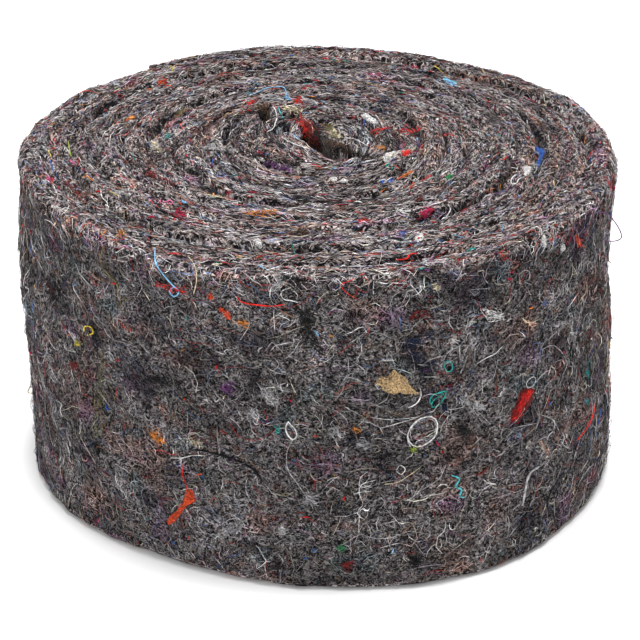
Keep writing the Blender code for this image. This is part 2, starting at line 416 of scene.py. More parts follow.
# Scraps and fluff seen in the photograph.
# Columns: colour, half width and fibre length in pixels, fibres, pixels of one end and of the other
SCRAPS = (
    ("ochre", 5, 6, 50, 384, 381, 411, 390),
    ("red", 3, 7, 60, 529, 391, 513, 420),
    ("dark_red", 4, 8, 30, 527, 395, 510, 424),
    ("vermilion", 3, 6, 80, 193, 493, 173, 520),
    ("orange", 3, 5, 22, 355, 427, 360, 431),
    ("orange", 5, 8, 50, 151, 431, 163, 440),
    ("black", 5, 8, 50, 152, 377, 168, 382),
    ("cream", 3, 6, 22, 192, 439, 204, 447),
    ("pale", 6, 8, 60, 308, 498, 312, 500),
    ("pale", 6, 8, 50, 252, 411, 259, 420),
    ("pale", 6, 8, 50, 333, 426, 339, 436),
    ("pale", 5, 7, 40, 362, 443, 364, 443),
    ("pale", 6, 8, 80, 266, 390, 276, 403),
    ("pale", 5, 9, 80, 212, 537, 245, 524),
    ("pale", 5, 7, 44, 280, 529, 284, 529),
    ("pale", 6, 8, 64, 461, 399, 482, 408),
    ("white", 5, 7, 60, 487, 313, 502, 317),
    ("peach", 5, 7, 30, 524, 319, 533, 324),
    ("cream", 3, 5, 18, 434, 286, 436, 286),
    ("yellow", 3, 5, 18, 77, 342, 79, 344),
    ("olive", 6, 12, 60, 102, 349, 100, 435),
    ("purple", 6, 7, 50, 224, 386, 232, 388),
    ("green", 4, 6, 18, 340, 548, 342, 548),
    ("lime", 3, 5, 18, 412, 448, 416, 450),
    ("black", 8, 10, 110, 305, 312, 312, 340),
    ("black", 4, 9, 50, 281, 279, 300, 280),
    ("black", 7, 10, 70, 460, 425, 469, 436),
    ("navy", 3, 5, 20, 443, 406, 446, 409),
    ("navy", 7, 12, 60, 410, 350, 428, 370),
    ("navy", 6, 9, 60, 405, 345, 432, 335),
    ("black", 5, 9, 50, 400, 352, 426, 372),
    ("black", 5, 9, 50, 594, 275, 602, 296),
    ("ochre", 2, 4, 16, 606, 341, 607, 346),
    ("ochre", 2, 4, 14, 607, 381, 608, 384),
    ("olive", 2, 6, 20, 604, 358, 606, 374),
    ("black", 8, 12, 44, 414, 560, 418, 562),
    ("dark_red", 6, 8, 30, 345, 565, 349, 565),
    ("dark_red", 6, 8, 30, 73, 365, 77, 365),
    ("pale", 3, 7, 26, 554, 325, 566, 321),
    ("pale", 3, 8, 40, 568, 324, 579, 358),
    ("white", 3, 6, 14, 452, 341, 454, 341),
    ("peach", 3, 8, 24, 541, 444, 549, 458),
    ("red", 3, 7, 40, 157, 284, 186, 291),
    ("dark_red", 4, 8, 30, 409, 316, 428, 313),
    ("orange", 4, 6, 18, 121, 234, 123, 234),
    ("pale", 4, 9, 40, 287, 276, 273, 290),
    ("vermilion", 2, 6, 14, 209, 294, 213, 298),
    ("vermilion", 3, 6, 40, 221, 308, 230, 317),
    ("orange", 3, 6, 24, 238, 321, 248, 325),
    ("vermilion", 3, 6, 24, 576, 236, 580, 247),
    ("pale", 5, 8, 24, 605, 190, 609, 192),
    ("blue", 2, 4, 10, 543, 303, 545, 303),
    ("teal", 3, 7, 18, 587, 359, 586, 376),
    ("teal", 3, 5, 10, 586, 399, 586, 403),
    ("teal", 3, 5, 14, 277, 426, 279, 431),
    ("pale", 3, 8, 30, 98, 136, 102, 152),
    ("pale", 3, 8, 30, 42, 138, 44, 152),
    ("pale", 3, 9, 50, 108, 189, 130, 197),
    ("pale", 2, 8, 30, 170, 180, 187, 186),
    ("dark_red", 3, 8, 40, 62, 176, 82, 200),
    ("brown", 4, 8, 40, 78, 188, 92, 200),
    ("cream", 4, 8, 44, 152, 144, 161, 152),
    ("olive", 3, 8, 30, 177, 115, 186, 112),
    ("orange", 3, 7, 24, 127, 122, 134, 118),
    ("black", 5, 7, 40, 192, 168, 203, 173),
    ("black", 3, 8, 40, 145, 193, 165, 202),
    ("black", 4, 6, 24, 125, 201, 130, 206),
    ("black", 4, 9, 70, 240, 152, 268, 158),
    ("black", 4, 9, 60, 270, 160, 300, 166),
    ("black", 3, 8, 40, 378, 142, 393, 145),
    ("black", 3, 8, 40, 200, 188, 216, 194),
    ("black", 4, 7, 36, 296, 197, 309, 203),
    ("crimson", 5, 6, 44, 176, 213, 185, 216),
    ("pink", 3, 6, 16, 71, 163, 77, 165),
    ("magenta", 4, 6, 18, 47, 180, 53, 182),
    ("dark_red", 4, 8, 60, 144, 172, 176, 186),
    ("vermilion", 4, 6, 24, 158, 81, 166, 82),
    ("dark_red", 4, 6, 18, 128, 85, 134, 85),
    ("yellow", 3, 5, 12, 170, 70, 174, 70),
    ("orange", 3, 8, 40, 245, 213, 278, 214),
    ("turquoise", 2, 5, 14, 443, 79, 456, 84),
    ("dark_red", 3, 5, 20, 457, 87, 466, 89),
    ("red", 2, 7, 26, 371, 134, 391, 128),
    ("red", 3, 7, 34, 400, 133, 421, 131),
    ("red", 3, 6, 16, 444, 136, 454, 136),
    ("crimson", 4, 6, 50, 420, 215, 433, 210),
    ("magenta", 3, 5, 20, 424, 214, 430, 211),
    ("red", 2, 6, 16, 420, 182, 430, 178),
    ("orange", 2, 6, 16, 400, 179, 411, 174),
    ("vermilion", 2, 6, 12, 410, 190, 415, 185),
    ("dark_red", 2, 6, 14, 416, 204, 422, 198),
    ("red", 3, 6, 16, 359, 222, 367, 222),
    ("blue", 3, 5, 16, 399, 235, 405, 235),
    ("pale", 5, 8, 34, 399, 225, 409, 222),
    ("brown", 4, 8, 50, 293, 234, 317, 231),
    ("brown", 3, 7, 26, 325, 236, 334, 237),
    ("navy", 5, 8, 40, 383, 101, 395, 105),
    ("crimson", 3, 5, 16, 403, 66, 419, 68),
    ("red", 2, 5, 20, 401, 155, 410, 152),
    ("cream", 3, 7, 40, 381, 159, 414, 150),
    ("red", 3, 14, 24, 300, 120, 306, 138),
    ("dark_red", 5, 16, 120, 303, 122, 317, 142),
    ("black", 4, 12, 50, 314, 124, 321, 144),
    ("brown", 4, 12, 50, 306, 132, 320, 147),
    ("sky", 2, 5, 16, 286, 99, 291, 100),
    ("red", 3, 6, 26, 293, 99, 300, 102),
    ("dark_red", 3, 6, 20, 300, 103, 306, 106),
    ("red", 2, 6, 20, 247, 105, 253, 101),
    ("purple", 3, 8, 50, 266, 163, 293, 172),
    ("olive", 5, 8, 40, 325, 126, 339, 136),
    ("brown", 4, 10, 70, 328, 142, 352, 152),
    ("black", 4, 10, 60, 334, 148, 372, 158),
    ("orange", 2, 6, 16, 376, 150, 384, 149),
    ("pale", 5, 9, 60, 203, 148, 231, 150),
    ("pale", 4, 7, 20, 153, 147, 159, 147),
    ("teal", 3, 5, 10, 165, 137, 169, 137),
    ("brown", 5, 10, 70, 262, 108, 271, 122),
    ("black", 4, 10, 60, 258, 112, 272, 120),
    ("pale", 2, 9, 44, 261, 99, 283, 100),
    ("pale", 2, 8, 34, 302, 100, 318, 105),
    ("cream", 2, 8, 30, 284, 110, 300, 111),
)

# Matted scraps seen in the photograph. Columns: colour, thickness in millimetres, pixels round it
CHIPS = (
    ("ochre", 0.7, ((375, 384), (380, 378), (387, 374), (394, 371), (402, 376), (410, 383), (418, 391),
                    (417, 395), (402, 394), (387, 393), (382, 388))),
    ("dark_red", 0.5, ((520, 390), (527, 387), (535, 389), (533, 400), (527, 410), (519, 421), (512, 424),
                       (511, 417), (515, 404))),
    ("scarlet", 0.7, ((522, 391), (532, 390), (527, 403), (520, 413), (515, 418), (518, 404))),
    ("vermilion", 0.6, ((186.5, 489), (192, 490), (196, 500), (188, 505), (181, 513), (171, 525),
                        (167, 519), (175, 513), (184, 504), (188, 497))),
    ("blue", 0.7, ((535, 146), (544, 150), (543, 158), (539, 167), (536, 165), (539, 158), (536, 151))),
    ("white", 0.8, ((522, 169), (526, 166), (531, 168), (530, 174), (525, 176))),
    ("sky", 0.5, ((441, 78), (448, 79), (458, 85), (455, 87), (446, 83))),
    ("white", 0.6, ((360, 115), (366, 114), (377, 121), (374, 124), (365, 120))),
    ("white", 0.5, ((377, 160), (385, 154), (397, 151), (413, 149), (412, 152), (398, 156), (386, 163))),
    ("red", 0.6, ((401, 153), (406, 150), (411, 152), (408, 156), (402, 156))),
    ("olive", 0.3, ((323, 124), (330, 124), (339, 133), (341, 138), (333, 137), (326, 132))),
    ("cream", 0.4, ((330, 125), (334, 128), (341, 137), (338, 138), (333, 132))),
    ("white", 0.5, ((542, 235), (545, 236), (546, 246), (543, 248), (541, 243))),
    ("white", 0.4, ((560, 244), (564, 243), (565, 250), (561, 252))),
    ("green", 0.5, ((446, 176), (450, 174), (453, 177), (450, 180), (446, 179))),
    ("white", 0.5, ((254, 241), (259, 238), (262, 243), (261, 248), (256, 246))),
    ("white", 0.4, ((257, 158), (262, 157), (265, 161), (260, 161))),
    ("white", 0.4, ((331, 178), (336, 177), (337, 181), (332, 181))),
    ("white", 0.4, ((340, 180), (346, 179), (348, 182), (342, 183))),
    ("blue", 0.4, ((380, 180), (384, 179), (384, 184), (381, 183))),
    ("blue", 0.4, ((387, 180), (393, 179), (392, 182), (388, 182))),
    ("navy", 0.5, ((441, 405), (447, 404), (448, 410), (443, 411))),
    ("teal", 0.5, ((466, 251), (471, 248), (476, 248), (474, 251), (468, 252))),
    ("white", 0.4, ((414, 238), (421, 233), (424, 238), (418, 242))),
)

# Matted scraps: points round each, how ragged the rim is, and how bright and varied the colour is
CHIP_SIDES = 22
CHIP_RAGGED = 0.10
CHIP_BRIGHTNESS = 0.78
CHIP_SHADES = 0.12
MERGE_DISTANCE = 1e-7

# The rings of a matted scrap, above and underneath. Columns: share of its width, of its thickness
CHIP_TOP_RINGS = ((1.0, 0.10), (0.84, 0.62), (0.50, 0.92), (0.0, 1.0))
CHIP_UNDER_RINGS = ((1.0, -0.3), (0.0, -0.3))
CHIP_MAP_RADIUS = 0.21
CHIP_MAP_TOP = (0.25, 0.5)
CHIP_MAP_UNDER = (0.75, 0.5)

# Loose threads seen in the photograph. Columns: colour, radius in millimetres, pixels that it passes
THREADS = (
    ("white", 0.22, ((420, 388), (421, 394), (418, 401), (413, 405), (408, 407))),
    ("teal", 0.24, ((431, 405), (429, 400), (433, 394), (440, 392), (445, 390), (445, 395), (441, 401),
                    (436, 406), (431, 406), (432, 401), (438, 396), (443, 393))),
    ("teal", 0.22, ((446, 371), (444, 366), (446, 361), (450, 362), (452, 367), (450, 371), (446, 371))),
    ("white", 0.25, ((410, 446), (407, 437), (411, 426), (420, 418), (431, 416), (437, 422), (436, 433),
                     (429, 441), (418, 446), (410, 443), (408, 436))),
    ("pale", 0.16, ((412, 440), (410, 433), (414, 424), (423, 419), (432, 419), (436, 425), (434, 434))),
    ("white", 0.12, ((370, 417), (388, 419), (406, 418), (420, 416))),
    ("white", 0.12, ((380, 428), (394, 424), (408, 420), (420, 416))),
    ("white", 0.14, ((527, 388), (526, 383), (530, 378), (534, 377), (535, 381), (532, 386), (527, 388))),
    ("red", 0.16, ((184, 463), (183, 474), (186, 483), (188, 492))),
    ("black", 0.42, ((190, 449), (204, 450), (224, 455), (245, 463), (257, 471), (263, 481))),
    ("white", 0.17, ((171, 457.5), (183, 457.6), (194, 455), (205, 455.4))),
    ("white", 0.27, ((289, 421), (286, 427), (288, 434), (293, 439), (297, 435), (295, 428), (291, 424),
                     (289, 421))),
    ("pale", 0.13, ((293, 439), (287, 452), (288, 469), (298, 484), (308, 498))),
    ("white", 0.14, ((375, 480), (362, 484), (359, 493), (363, 504), (357, 512), (364, 519), (368, 512),
                     (361, 508), (359, 521), (359, 533))),
    ("pale", 0.13, ((359, 533), (375, 538), (392, 537), (408, 531), (424, 533))),
    ("cream", 0.13, ((384, 484), (397, 482), (409, 475), (420, 467))),
    ("white", 0.14, ((396, 470), (400, 465), (405, 469), (401, 474), (396, 471))),
    ("pale", 0.13, ((445, 465), (440, 477), (428, 486), (416, 492))),
    ("turquoise", 0.28, ((451, 475), (459, 478), (455, 486), (461, 489), (459, 496), (464, 497))),
    ("pale", 0.42, ((537.8, 465.8), (530, 471), (526, 479), (524.8, 486), (522.5, 498), (521, 505))),
    ("pale", 0.14, ((522.4, 483.4), (513, 483.4), (499.5, 488.8), (492, 487))),
    ("black", 0.24, ((565, 467), (557, 480), (549, 494), (547, 506), (551, 516))),
    ("red", 0.24, ((594, 402), (592, 414), (587, 426), (576, 440))),
    ("blue", 0.18, ((600, 408), (599, 416), (597, 425))),
    ("yellow", 0.26, ((85, 331), (86, 326), (92, 327), (94, 333), (88, 335))),
    ("white", 0.16, ((57, 400), (62, 404), (61, 410), (63, 416))),
    ("sky", 0.27, ((155, 249), (156, 262), (164, 274), (174, 285), (180, 290), (175, 296), (170, 290),
                   (175, 286))),
    ("cream", 0.18, ((188, 257), (195, 267), (197, 280), (194, 294))),
    ("olive", 0.24, ((104, 245), (102, 262), (110, 275), (118, 284), (122, 306))),
    ("red", 0.25, ((237, 296), (241, 301), (249, 303.5), (263, 305), (273, 305.6), (284, 304))),
    ("white", 0.17, ((298, 302), (290, 300), (284, 299), (281, 294), (283, 290), (291, 287))),
    ("red", 0.14, ((356, 278), (349, 281), (341, 284), (344, 290), (349, 294), (357, 299))),
    ("red", 0.24, ((396, 260), (406, 259), (410, 255), (417, 254))),
    ("purple", 0.24, ((598, 211), (606, 214), (613, 221), (619, 231), (620, 238), (613, 241), (604, 241))),
    ("white", 0.15, ((32, 268), (26, 276), (25, 286), (30, 290), (24, 300), (27, 312), (33, 318))),
    ("pale", 0.17, ((519, 283), (519, 275), (524, 270), (529, 272), (528, 279), (523, 281), (530, 284))),
    ("black", 0.22, ((555, 406), (562, 405), (570, 404), (578, 401))),
    ("white", 0.17, ((101, 190), (103, 198), (108, 203), (108, 210))),
    ("pink", 0.20, ((160.5, 203.5), (160.3, 201), (162.5, 200.3), (163.5, 202.5), (166, 203), (168.5, 202),
                    (170.5, 200.8), (173, 202.8), (171.8, 205), (169.3, 204.8), (168.6, 202.6))),
    ("blue", 0.18, ((51, 161), (52.5, 167), (54, 173))),
    ("yellow", 0.16, ((48, 150), (50, 154), (52, 158))),
    ("lime", 0.16, ((68, 142), (69, 150), (71, 158))),
    ("orange", 0.18, ((86, 176), (90, 179), (94, 182))),
    ("yellow", 0.16, ((109, 192), (113, 194), (117, 196))),
    ("cream", 0.22, ((206, 195), (214, 197), (224, 199))),
    ("yellow", 0.18, ((434, 66), (439, 69), (443, 73))),
    ("white", 0.17, ((447.5, 204.7), (449.8, 210), (446, 216), (442, 220.8))),
    ("white", 0.20, ((519, 176), (514, 177), (511, 181), (512, 185), (517, 184), (519, 180), (524, 178))),
    ("pale", 0.16, ((531, 166), (535, 165), (536, 170), (533, 174))),
    ("white", 0.22, ((273, 107), (276, 113), (276, 121), (272, 129), (267, 133))),
    ("turquoise", 0.20, ((278, 107), (280, 113), (283, 119))),
    ("sky", 0.18, ((250, 96), (258, 93), (266, 89), (275, 88), (283, 88), (286, 92), (286, 98), (289, 101))),
    ("pale", 0.20, ((261, 101), (267, 96), (276, 97), (283, 101))),
    ("cream", 0.20, ((283, 110), (290, 107), (298, 110), (302, 113))),
    ("pale", 0.22, ((302, 100), (307, 99), (313, 102), (318, 106))),
    ("white", 0.17, ((344, 139), (350, 139), (356, 140), (368, 147))),
    ("white", 0.17, ((282, 138), (290, 143), (300, 147), (310, 150))),
    ("peach", 0.20, ((304, 119), (309, 123), (312, 128), (314, 136))),
    ("white", 0.16, ((229, 96), (236, 93), (238, 90))),
    ("navy", 0.22, ((280, 191), (286, 197), (293, 201))),
    ("orange", 0.20, ((244, 213), (255, 216), (267, 218))),
    ("olive", 0.18, ((367, 85), (372, 84), (376, 82))),
    ("vermilion", 0.20, ((398, 180), (405, 176), (413, 172))),
    ("black", 0.26, ((299, 245), (308, 249), (317, 251), (326, 252))),
    ("pale", 0.12, ((540, 350), (552, 345), (561, 352), (566, 362))),
    ("pale", 0.12, ((467, 355), (464, 364), (460, 373))),
    ("pale", 0.12, ((344, 381), (342, 391), (335, 400))),
    ("pale", 0.12, ((370, 327), (360, 336), (349, 343))),
    ("pale", 0.12, ((266, 350), (272, 342), (277, 346), (284, 353))),
    ("pale", 0.12, ((274, 357), (279, 364), (273, 371))),
    ("white", 0.12, ((274, 310), (274, 318), (275, 331))),
    ("pale", 0.12, ((470, 330), (460, 345), (448, 352), (440, 366))),
)

# Scraps and threads strewn where the photograph doesn't reach
STREWN_SCRAPS = 46
STREWN_THREADS = 44
STREWN_YARNS = (
    "white", "white", "white", "pale", "pale", "cream", "red", "vermilion", "dark_red", "teal", "sky",
    "blue", "yellow", "purple", "black", "black", "orange", "pink", "ochre", "navy", "olive",
)
HIDDEN_WALL = (0.68, 1.10)

# Neps, the short thick ends of yarn
EDGE_NEPS = 420
WALL_NEPS = 300
NEP_KNOTS = 4
NEP_RADIUS = 0.00020
NEP_YARNS = (
    "white", "white", "white", "pale", "pale", "pale", "cream", "red", "red", "crimson", "vermilion",
    "dark_red", "orange", "teal", "sky", "blue", "navy", "black", "black", "olive", "purple", "ochre",
)

# Where the strip's cut end begins, as a share of the wall's length, how far past it things are carried,
# and how far they stay from the wall's edges
END_SHARE = 0.97
PAST_END = 0.015
STREWN_MARGIN = 0.01

# Scraps: how their colours vary and how far they may go, and least and most of the rest
SCRAP_SHADES = 0.30
SCRAP_LIMITS = (0.003, 0.85)
SEEN_LENGTHS = (0.5, 1.2)
STREWN_COUNTS = (14, 60)
STREWN_SIZES = (0.0008, 0.0028)
STREWN_LENGTHS = (0.0015, 0.0045)
STREWN_RISE = (0.05, 0.95)

# Strewn threads and short ends of yarn: least and most, and how they bend and vary
STREWN_THREAD_RISE = (0.1, 0.9)
STREWN_THREAD_LENGTHS = (0.005, 0.018)
STREWN_THREAD_RADII = (0.00016, 0.00030)
STREWN_THREAD_BEND = 3.2
STREWN_BRIGHTNESS = 0.75
YARN_SHADES = 0.25
EDGE_NEP_LENGTHS = (0.0008, 0.0030)
WALL_NEP_LENGTHS = (0.0008, 0.0026)

# Knots along a scrap's fibre and a thread, steps of a curve between two places, and sides of a thread
SCRAP_KNOTS = 4
CURVE_STEPS = 12
THREAD_KNOTS = 22
THREAD_SIDES = 4

# The stage. Columns of the lights: name, place, power, width
FLOOR_WIDTH = 8.0
FLOOR_LEVEL = -0.0003
FLOOR_SHADES = (0.86, 0.90)
FLOOR_GRAIN_SCALE = 6.0
FLOOR_ROUGHNESS = 0.9
WORLD_COLOUR = (1.0, 1.0, 1.0)
WORLD_STRENGTH = 0.59
LIGHTS = (
    ("key", (0.05, 0.05, 2.6), 103.0, 1.0),
    ("fill", (-0.3, -2.0, 1.0), 15.0, 1.2),
)

# The camera, worked out from the roll's outline in the photograph
PICTURE_SIDE = 640
FOCAL_PIXELS = 2957.0
CAMERA_DISTANCE = 10.2 * ROLL_RADIUS
CAMERA_ELEVATION = math.radians(25.3)
ROLL_PIXEL = (320.6, 300.7)
SENSOR_WIDTH = 0.036

# Units, and sizes worked out from the ones above
WHOLE_PATH = TURNS + 1.0
PITCH = ROLL_RADIUS / WHOLE_PATH
WALL_LENGTH = math.tau * ROLL_RADIUS
MILLIMETRE = 0.001
SMALLEST = 1e-12
UPWARD = (0.0, 0.0, 1.0)
PIXEL_SIZE = CAMERA_DISTANCE / FOCAL_PIXELS


class FeltSizes(bpy.types.PropertyGroup):
    """Sizes of the felt's loose fibres."""

    fibre_radius: FloatProperty(
        name="Fibre radius", description="Half the width of a loose fibre",
        default=0.000075, min=0.00002, max=0.001, precision=5, subtype="DISTANCE", unit="LENGTH",
    )
    fibre_length: FloatProperty(
        name="Fibre length", description="Usual length of a loose fibre",
        default=0.0070, min=0.002, max=0.05, precision=4, subtype="DISTANCE", unit="LENGTH",
    )
    wall_fibres: IntProperty(
        name="Wall fibres", description="Loose fibres on the outside of the roll",
        default=14400, min=0, max=19000,
    )
    edge_fibres: IntProperty(
        name="Edge fibres", description="Loose fibres on the top cut edge",
        default=18000, min=0, max=28000,
    )
    long_hairs: IntProperty(
        name="Long hairs", description="Long curled hairs on the outside of the roll",
        default=650, min=0, max=4000,
    )
    rim_fibres: IntProperty(
        name="Rim fibres", description="Loose fibres that cross the rim",
        default=1900, min=0, max=9000,
    )
    foot_fibres: IntProperty(
        name="Foot fibres", description="Loose fibres on the cut edge that the roll stands on",
        default=2000, min=0, max=9000,
    )


class FeltColours(bpy.types.PropertyGroup):
    """Colours of the felt."""

    ground: FloatVectorProperty(
        name="Ground", description="Shaded felt between the fibres",
        default=(0.003, 0.0026, 0.003), size=3, min=0.0, max=1.0, subtype="COLOR",
    )
    middle: FloatVectorProperty(
        name="Middle", description="Felt in ordinary light",
        default=(0.340, 0.302, 0.308), size=3, min=0.0, max=1.0, subtype="COLOR",
    )
    pale: FloatVectorProperty(
        name="Pale", description="The palest fibres in the felt",
        default=(0.50, 0.47, 0.46), size=3, min=0.0, max=1.0, subtype="COLOR",
    )


def cubic(near, part):
    """Values a part of the way between the middle two of four neighbours: the cubic whose slope at
    each of the two is half the way from the value before it to the value after it."""
    before, here, after, beyond = near
    bend = 2.0 * before - 5.0 * here + 4.0 * after - beyond
    twist = 3.0 * (here - after) + beyond - before
    return here + 0.5 * part * (after - before + part * (bend + part * twist))


def outline_share(bearing, rise):
    """The outline at any bearing and height: a smooth cubic between rows, closed on itself, and a
    straight line from the foot's column to the rim's."""
    table = np.array(OUTLINE)
    place = bearing % 360.0 / 360.0 * len(table)
    row = np.floor(place).astype(int)
    near = [table[(row + k) % len(table)] for k in (-1, 0, 1, 2)]
    return cubic([at[..., RIM] * rise + at[..., FOOT] * (1.0 - rise) for at in near], place - row)


def swell(distance):
    """1 at no distance, falling as a squared cosine to 0 at a distance of 1."""
    return np.where(np.abs(distance) < 1.0, np.cos(distance * math.pi / 2.0) ** 2, 0.0)


def pocket_turn(turn, bearing):
    """Turns along the path to the middle of a pocket."""
    return turn + (bearing - START_BEARING) / 360.0


def pocket_depth(groove):
    """How much deeper the pockets make the groove line."""
    depth = np.zeros(np.shape(groove))
    for turn, bearing, half_length, _, deepest in POCKETS:
        depth += deepest * swell((groove - pocket_turn(turn, bearing)) * 360.0 / half_length)
    return depth


def pocket_push(turned, share):
    """Outward push beyond a pocket and inward push within it, fading away from the pocket."""
    push = np.zeros(np.shape(share))
    for turn, bearing, half_length, opening, _ in POCKETS:
        middle = pocket_turn(turn, bearing)
        along = (turned - middle + 0.5) % 1.0 - 0.5
        away = share - (middle + along) / WHOLE_PATH
        lip = np.clip(away / POCKET_LIP, -1.0, 1.0)
        fading = np.exp(-np.abs(away) / POCKET_REACH)
        push += 0.5 * opening * swell(along * 360.0 / half_length) * lip * fading
    return push


def swirled(place):
    """Places turned about the eye by an angle that falls off as e to the power of minus the distance
    squared, as the strip's inner end was twisted when the winding was started."""
    away = place - EYE_CENTRE
    reach = (away**2).sum(axis=-1) / SWIRL_REACH**2
    angle = SWIRL * np.exp(-reach)
    cos, sin = np.cos(angle), np.sin(angle)
    turned = (cos * away[..., 0] - sin * away[..., 1], sin * away[..., 0] + cos * away[..., 1])
    return np.stack(turned, axis=-1) + EYE_CENTRE


def lumped(place, rise):
    """Places pushed about in plan by two grains, one for each direction, that vary over the space that
    the roll stands in. Neighbouring turns move together."""
    high = np.broadcast_to(rise, place.shape[:-1])[..., None] * STRIP_WIDTH
    spots = np.concatenate((place, high), axis=-1) / LUMP_GRAIN
    return place + LUMP_HEIGHT * np.stack([grain(spots, seed) for seed in LUMP_SEEDS], axis=-1)


def plan(turned, across, rise):
    """Places in plan, from turns along the strip, the share of the felt's thickness and the share of
    the roll's height. At each bearing a straight line runs from the eye to the outline, and the
    point's share of the whole path says how far along that line it lies. Near its outer end the felt
    thins by a smooth step."""
    to_end = np.clip(1.0 - (TURNS - turned) / END_STRETCH, 0.0, 1.0)
    across = across * (1.0 - END_THINNING * to_end * to_end * (3.0 - 2.0 * to_end))
    bearing = START_BEARING + 360.0 * turned
    way = np.stack((np.cos(np.radians(bearing)), np.sin(np.radians(bearing))), axis=-1)
    share = (turned + across) / WHOLE_PATH
    eye = np.array(EYE_CENTRE) + way * (EYE_HALF_WIDTH, EYE_HALF_LENGTH)
    outline = way * ROLL_RADIUS * outline_share(bearing, rise)[..., None]
    push = way * pocket_push(turned, share)[..., None]
    place = (1.0 - share[..., None]) * eye + share[..., None] * outline + push
    return lumped(swirled(place) + AXIS, rise)


def lattice_value(cell, seed):
    """A fixed number from 0 to 1 for each cell of a grid, from its three whole coordinates."""
    mixed = (cell * np.array(CELL_FACTORS)).sum(axis=-1) + seed * SEED_FACTOR
    mixed = (mixed ^ (mixed >> 13)) * MIXING_FACTOR
    return ((mixed ^ (mixed >> 16)) & LOW_BITS) / LOW_BITS


def grain(places, seed):
    """Smooth noise from -1 to 1: fixed numbers at whole coordinates, blended by eased shares of the
    distance to each of the eight nearest."""
    low = np.floor(places).astype(np.int64)
    part = places - low
    part = part * part * (3.0 - 2.0 * part)
    total = np.zeros(places.shape[:-1])
    for corner in np.ndindex(2, 2, 2):
        weight = np.where(corner, part, 1.0 - part).prod(axis=-1)
        total += weight * lattice_value(low + np.array(corner), seed)
    return 2.0 * total - 1.0


def path_length(turned):
    """Length of strip from its inner end: each turn is a pitch wider than the one before."""
    return math.tau * (EYE_HALF_LENGTH * turned + 0.5 * PITCH * turned**2)


def relief(along, across, layers, seed):
    """Sum of a few grains, each stretched by its own lengths along and across."""
    total = np.zeros(np.shape(along))
    for k, (height, long_grain, cross_grain) in enumerate(layers):
        places = np.stack((along / long_grain, across / cross_grain, np.full(np.shape(along), 0.5)), -1)
        total += height * grain(places, seed + k)
    return total


def patches(along, across, shades, tints, seed):
    """Colours to multiply the felt's by. The shade is e to the power of a sum of grains. Each tint is
    mixed in as its own grain rises past where it begins."""
    power = relief(along, across, shades, seed)
    colour = np.exp(power)[..., None] * np.ones(3)
    for k, (long_grain, cross_grain, begins, tint) in enumerate(tints):
        value = relief(along, across, ((1.0, long_grain, cross_grain),), seed + TINT_SEED_STEP + k)
        share = np.clip((value - begins) / TINT_RISE, 0.0, 1.0)[..., None]
        colour *= 1.0 + share * (np.array(tint) - 1.0)
    return colour


def edge_patches(turned, across):
    """Patches of a cut edge, long and thin like the layers of the felt."""
    across = (turned + across) * PITCH
    colours = patches(path_length(turned), across, EDGE_SHADES, EDGE_TINTS, EDGE_PATCH_SEED)
    return colours * EDGE_TINT


def wall_patches(turned, rise):
    """Patches of the outer wall."""
    up = rise * STRIP_WIDTH
    return patches(turned * WALL_LENGTH, up, WALL_SHADES, WALL_TINTS, WALL_PATCH_SEED)


def crown_height(turned):
    """Height of the turn's crown along the strip: the strip's width with a few slow waves."""
    waves = sum(h * np.sin(count * math.tau * turned + phase) for h, count, phase in CROWN_WAVES)
    return STRIP_WIDTH + waves


def groove_height(groove, top):
    """Height of the line between two turns, or of the rounded edge where a turn has no neighbour."""
    at_edge = (groove <= 1.0) | (groove >= TURNS)
    if not top:
        return np.where(at_edge, FOOT_ROUNDING, FOOT_GROOVE)
    inside = np.where(groove < 1.0, groove, groove - 1.0)
    outside = np.where(groove > TURNS, groove - 1.0, groove)
    length = path_length(groove)
    places = np.stack((length / GROOVE_GRAIN, groove * 0.0, groove * 0.0), axis=-1)
    uneven = 1.0 + GROOVE_UNEVENNESS * grain(places, GROOVE_SEED)
    dip = np.where(at_edge, TOP_ROUNDING, TOP_GROOVE * uneven + pocket_depth(groove))
    return (crown_height(inside) + crown_height(outside)) / 2.0 - dip


def shoulder(distance):
    """Quarter of a circle: 1 at no distance, where it is steep, and 0 and level at a distance of 1."""
    return 1.0 - np.sqrt(1.0 - (1.0 - np.clip(distance, 0.0, 1.0)) ** 2)


def hollow_depth(place):
    """How deep the hollows are at places in plan: each falls off from its middle as a squared cosine
    of the distance in half widths and half lengths."""
    depth = np.zeros(place.shape[:-1])
    for across, down, half_width, half_height, deepest in HOLLOWS:
        away = place - level_spot(across, down)
        away /= PIXEL_SIZE * np.array((half_width, half_height / math.sin(CAMERA_ELEVATION)))
        depth += deepest * swell(np.linalg.norm(away, axis=-1))
    return depth


def edge_surface(turned, across, top=True):
    """Points of a cut edge: the crown of the turn, rounded down to the groove on either side, with
    torn relief that dies away in the grooves."""
    inner = shoulder(across / SHOULDER)
    outer = shoulder((1.0 - across) / SHOULDER)
    crown = crown_height(turned) if top else np.zeros(np.shape(turned))
    if top:
        layer = np.floor(turned) * LAYER_SHIFT + across
        torn = relief(path_length(turned), layer * PITCH, EDGE_RELIEF, EDGE_RELIEF_SEED)
        crown = crown + torn
    height = crown * (1.0 - inner - outer)
    height += groove_height(turned, top) * inner + groove_height(turned + 1.0, top) * outer
    place = plan(turned, across, np.full(np.shape(turned), 1.0 if top else 0.0))
    if top:
        height -= hollow_depth(place)
    return np.concatenate((place, height[..., None]), axis=-1)


def outward(turned):
    """Level directions from the axis at each bearing."""
    bearing = np.radians(START_BEARING + 360.0 * turned)
    return np.stack((np.cos(bearing), np.sin(bearing), np.zeros(np.shape(turned))), axis=-1)


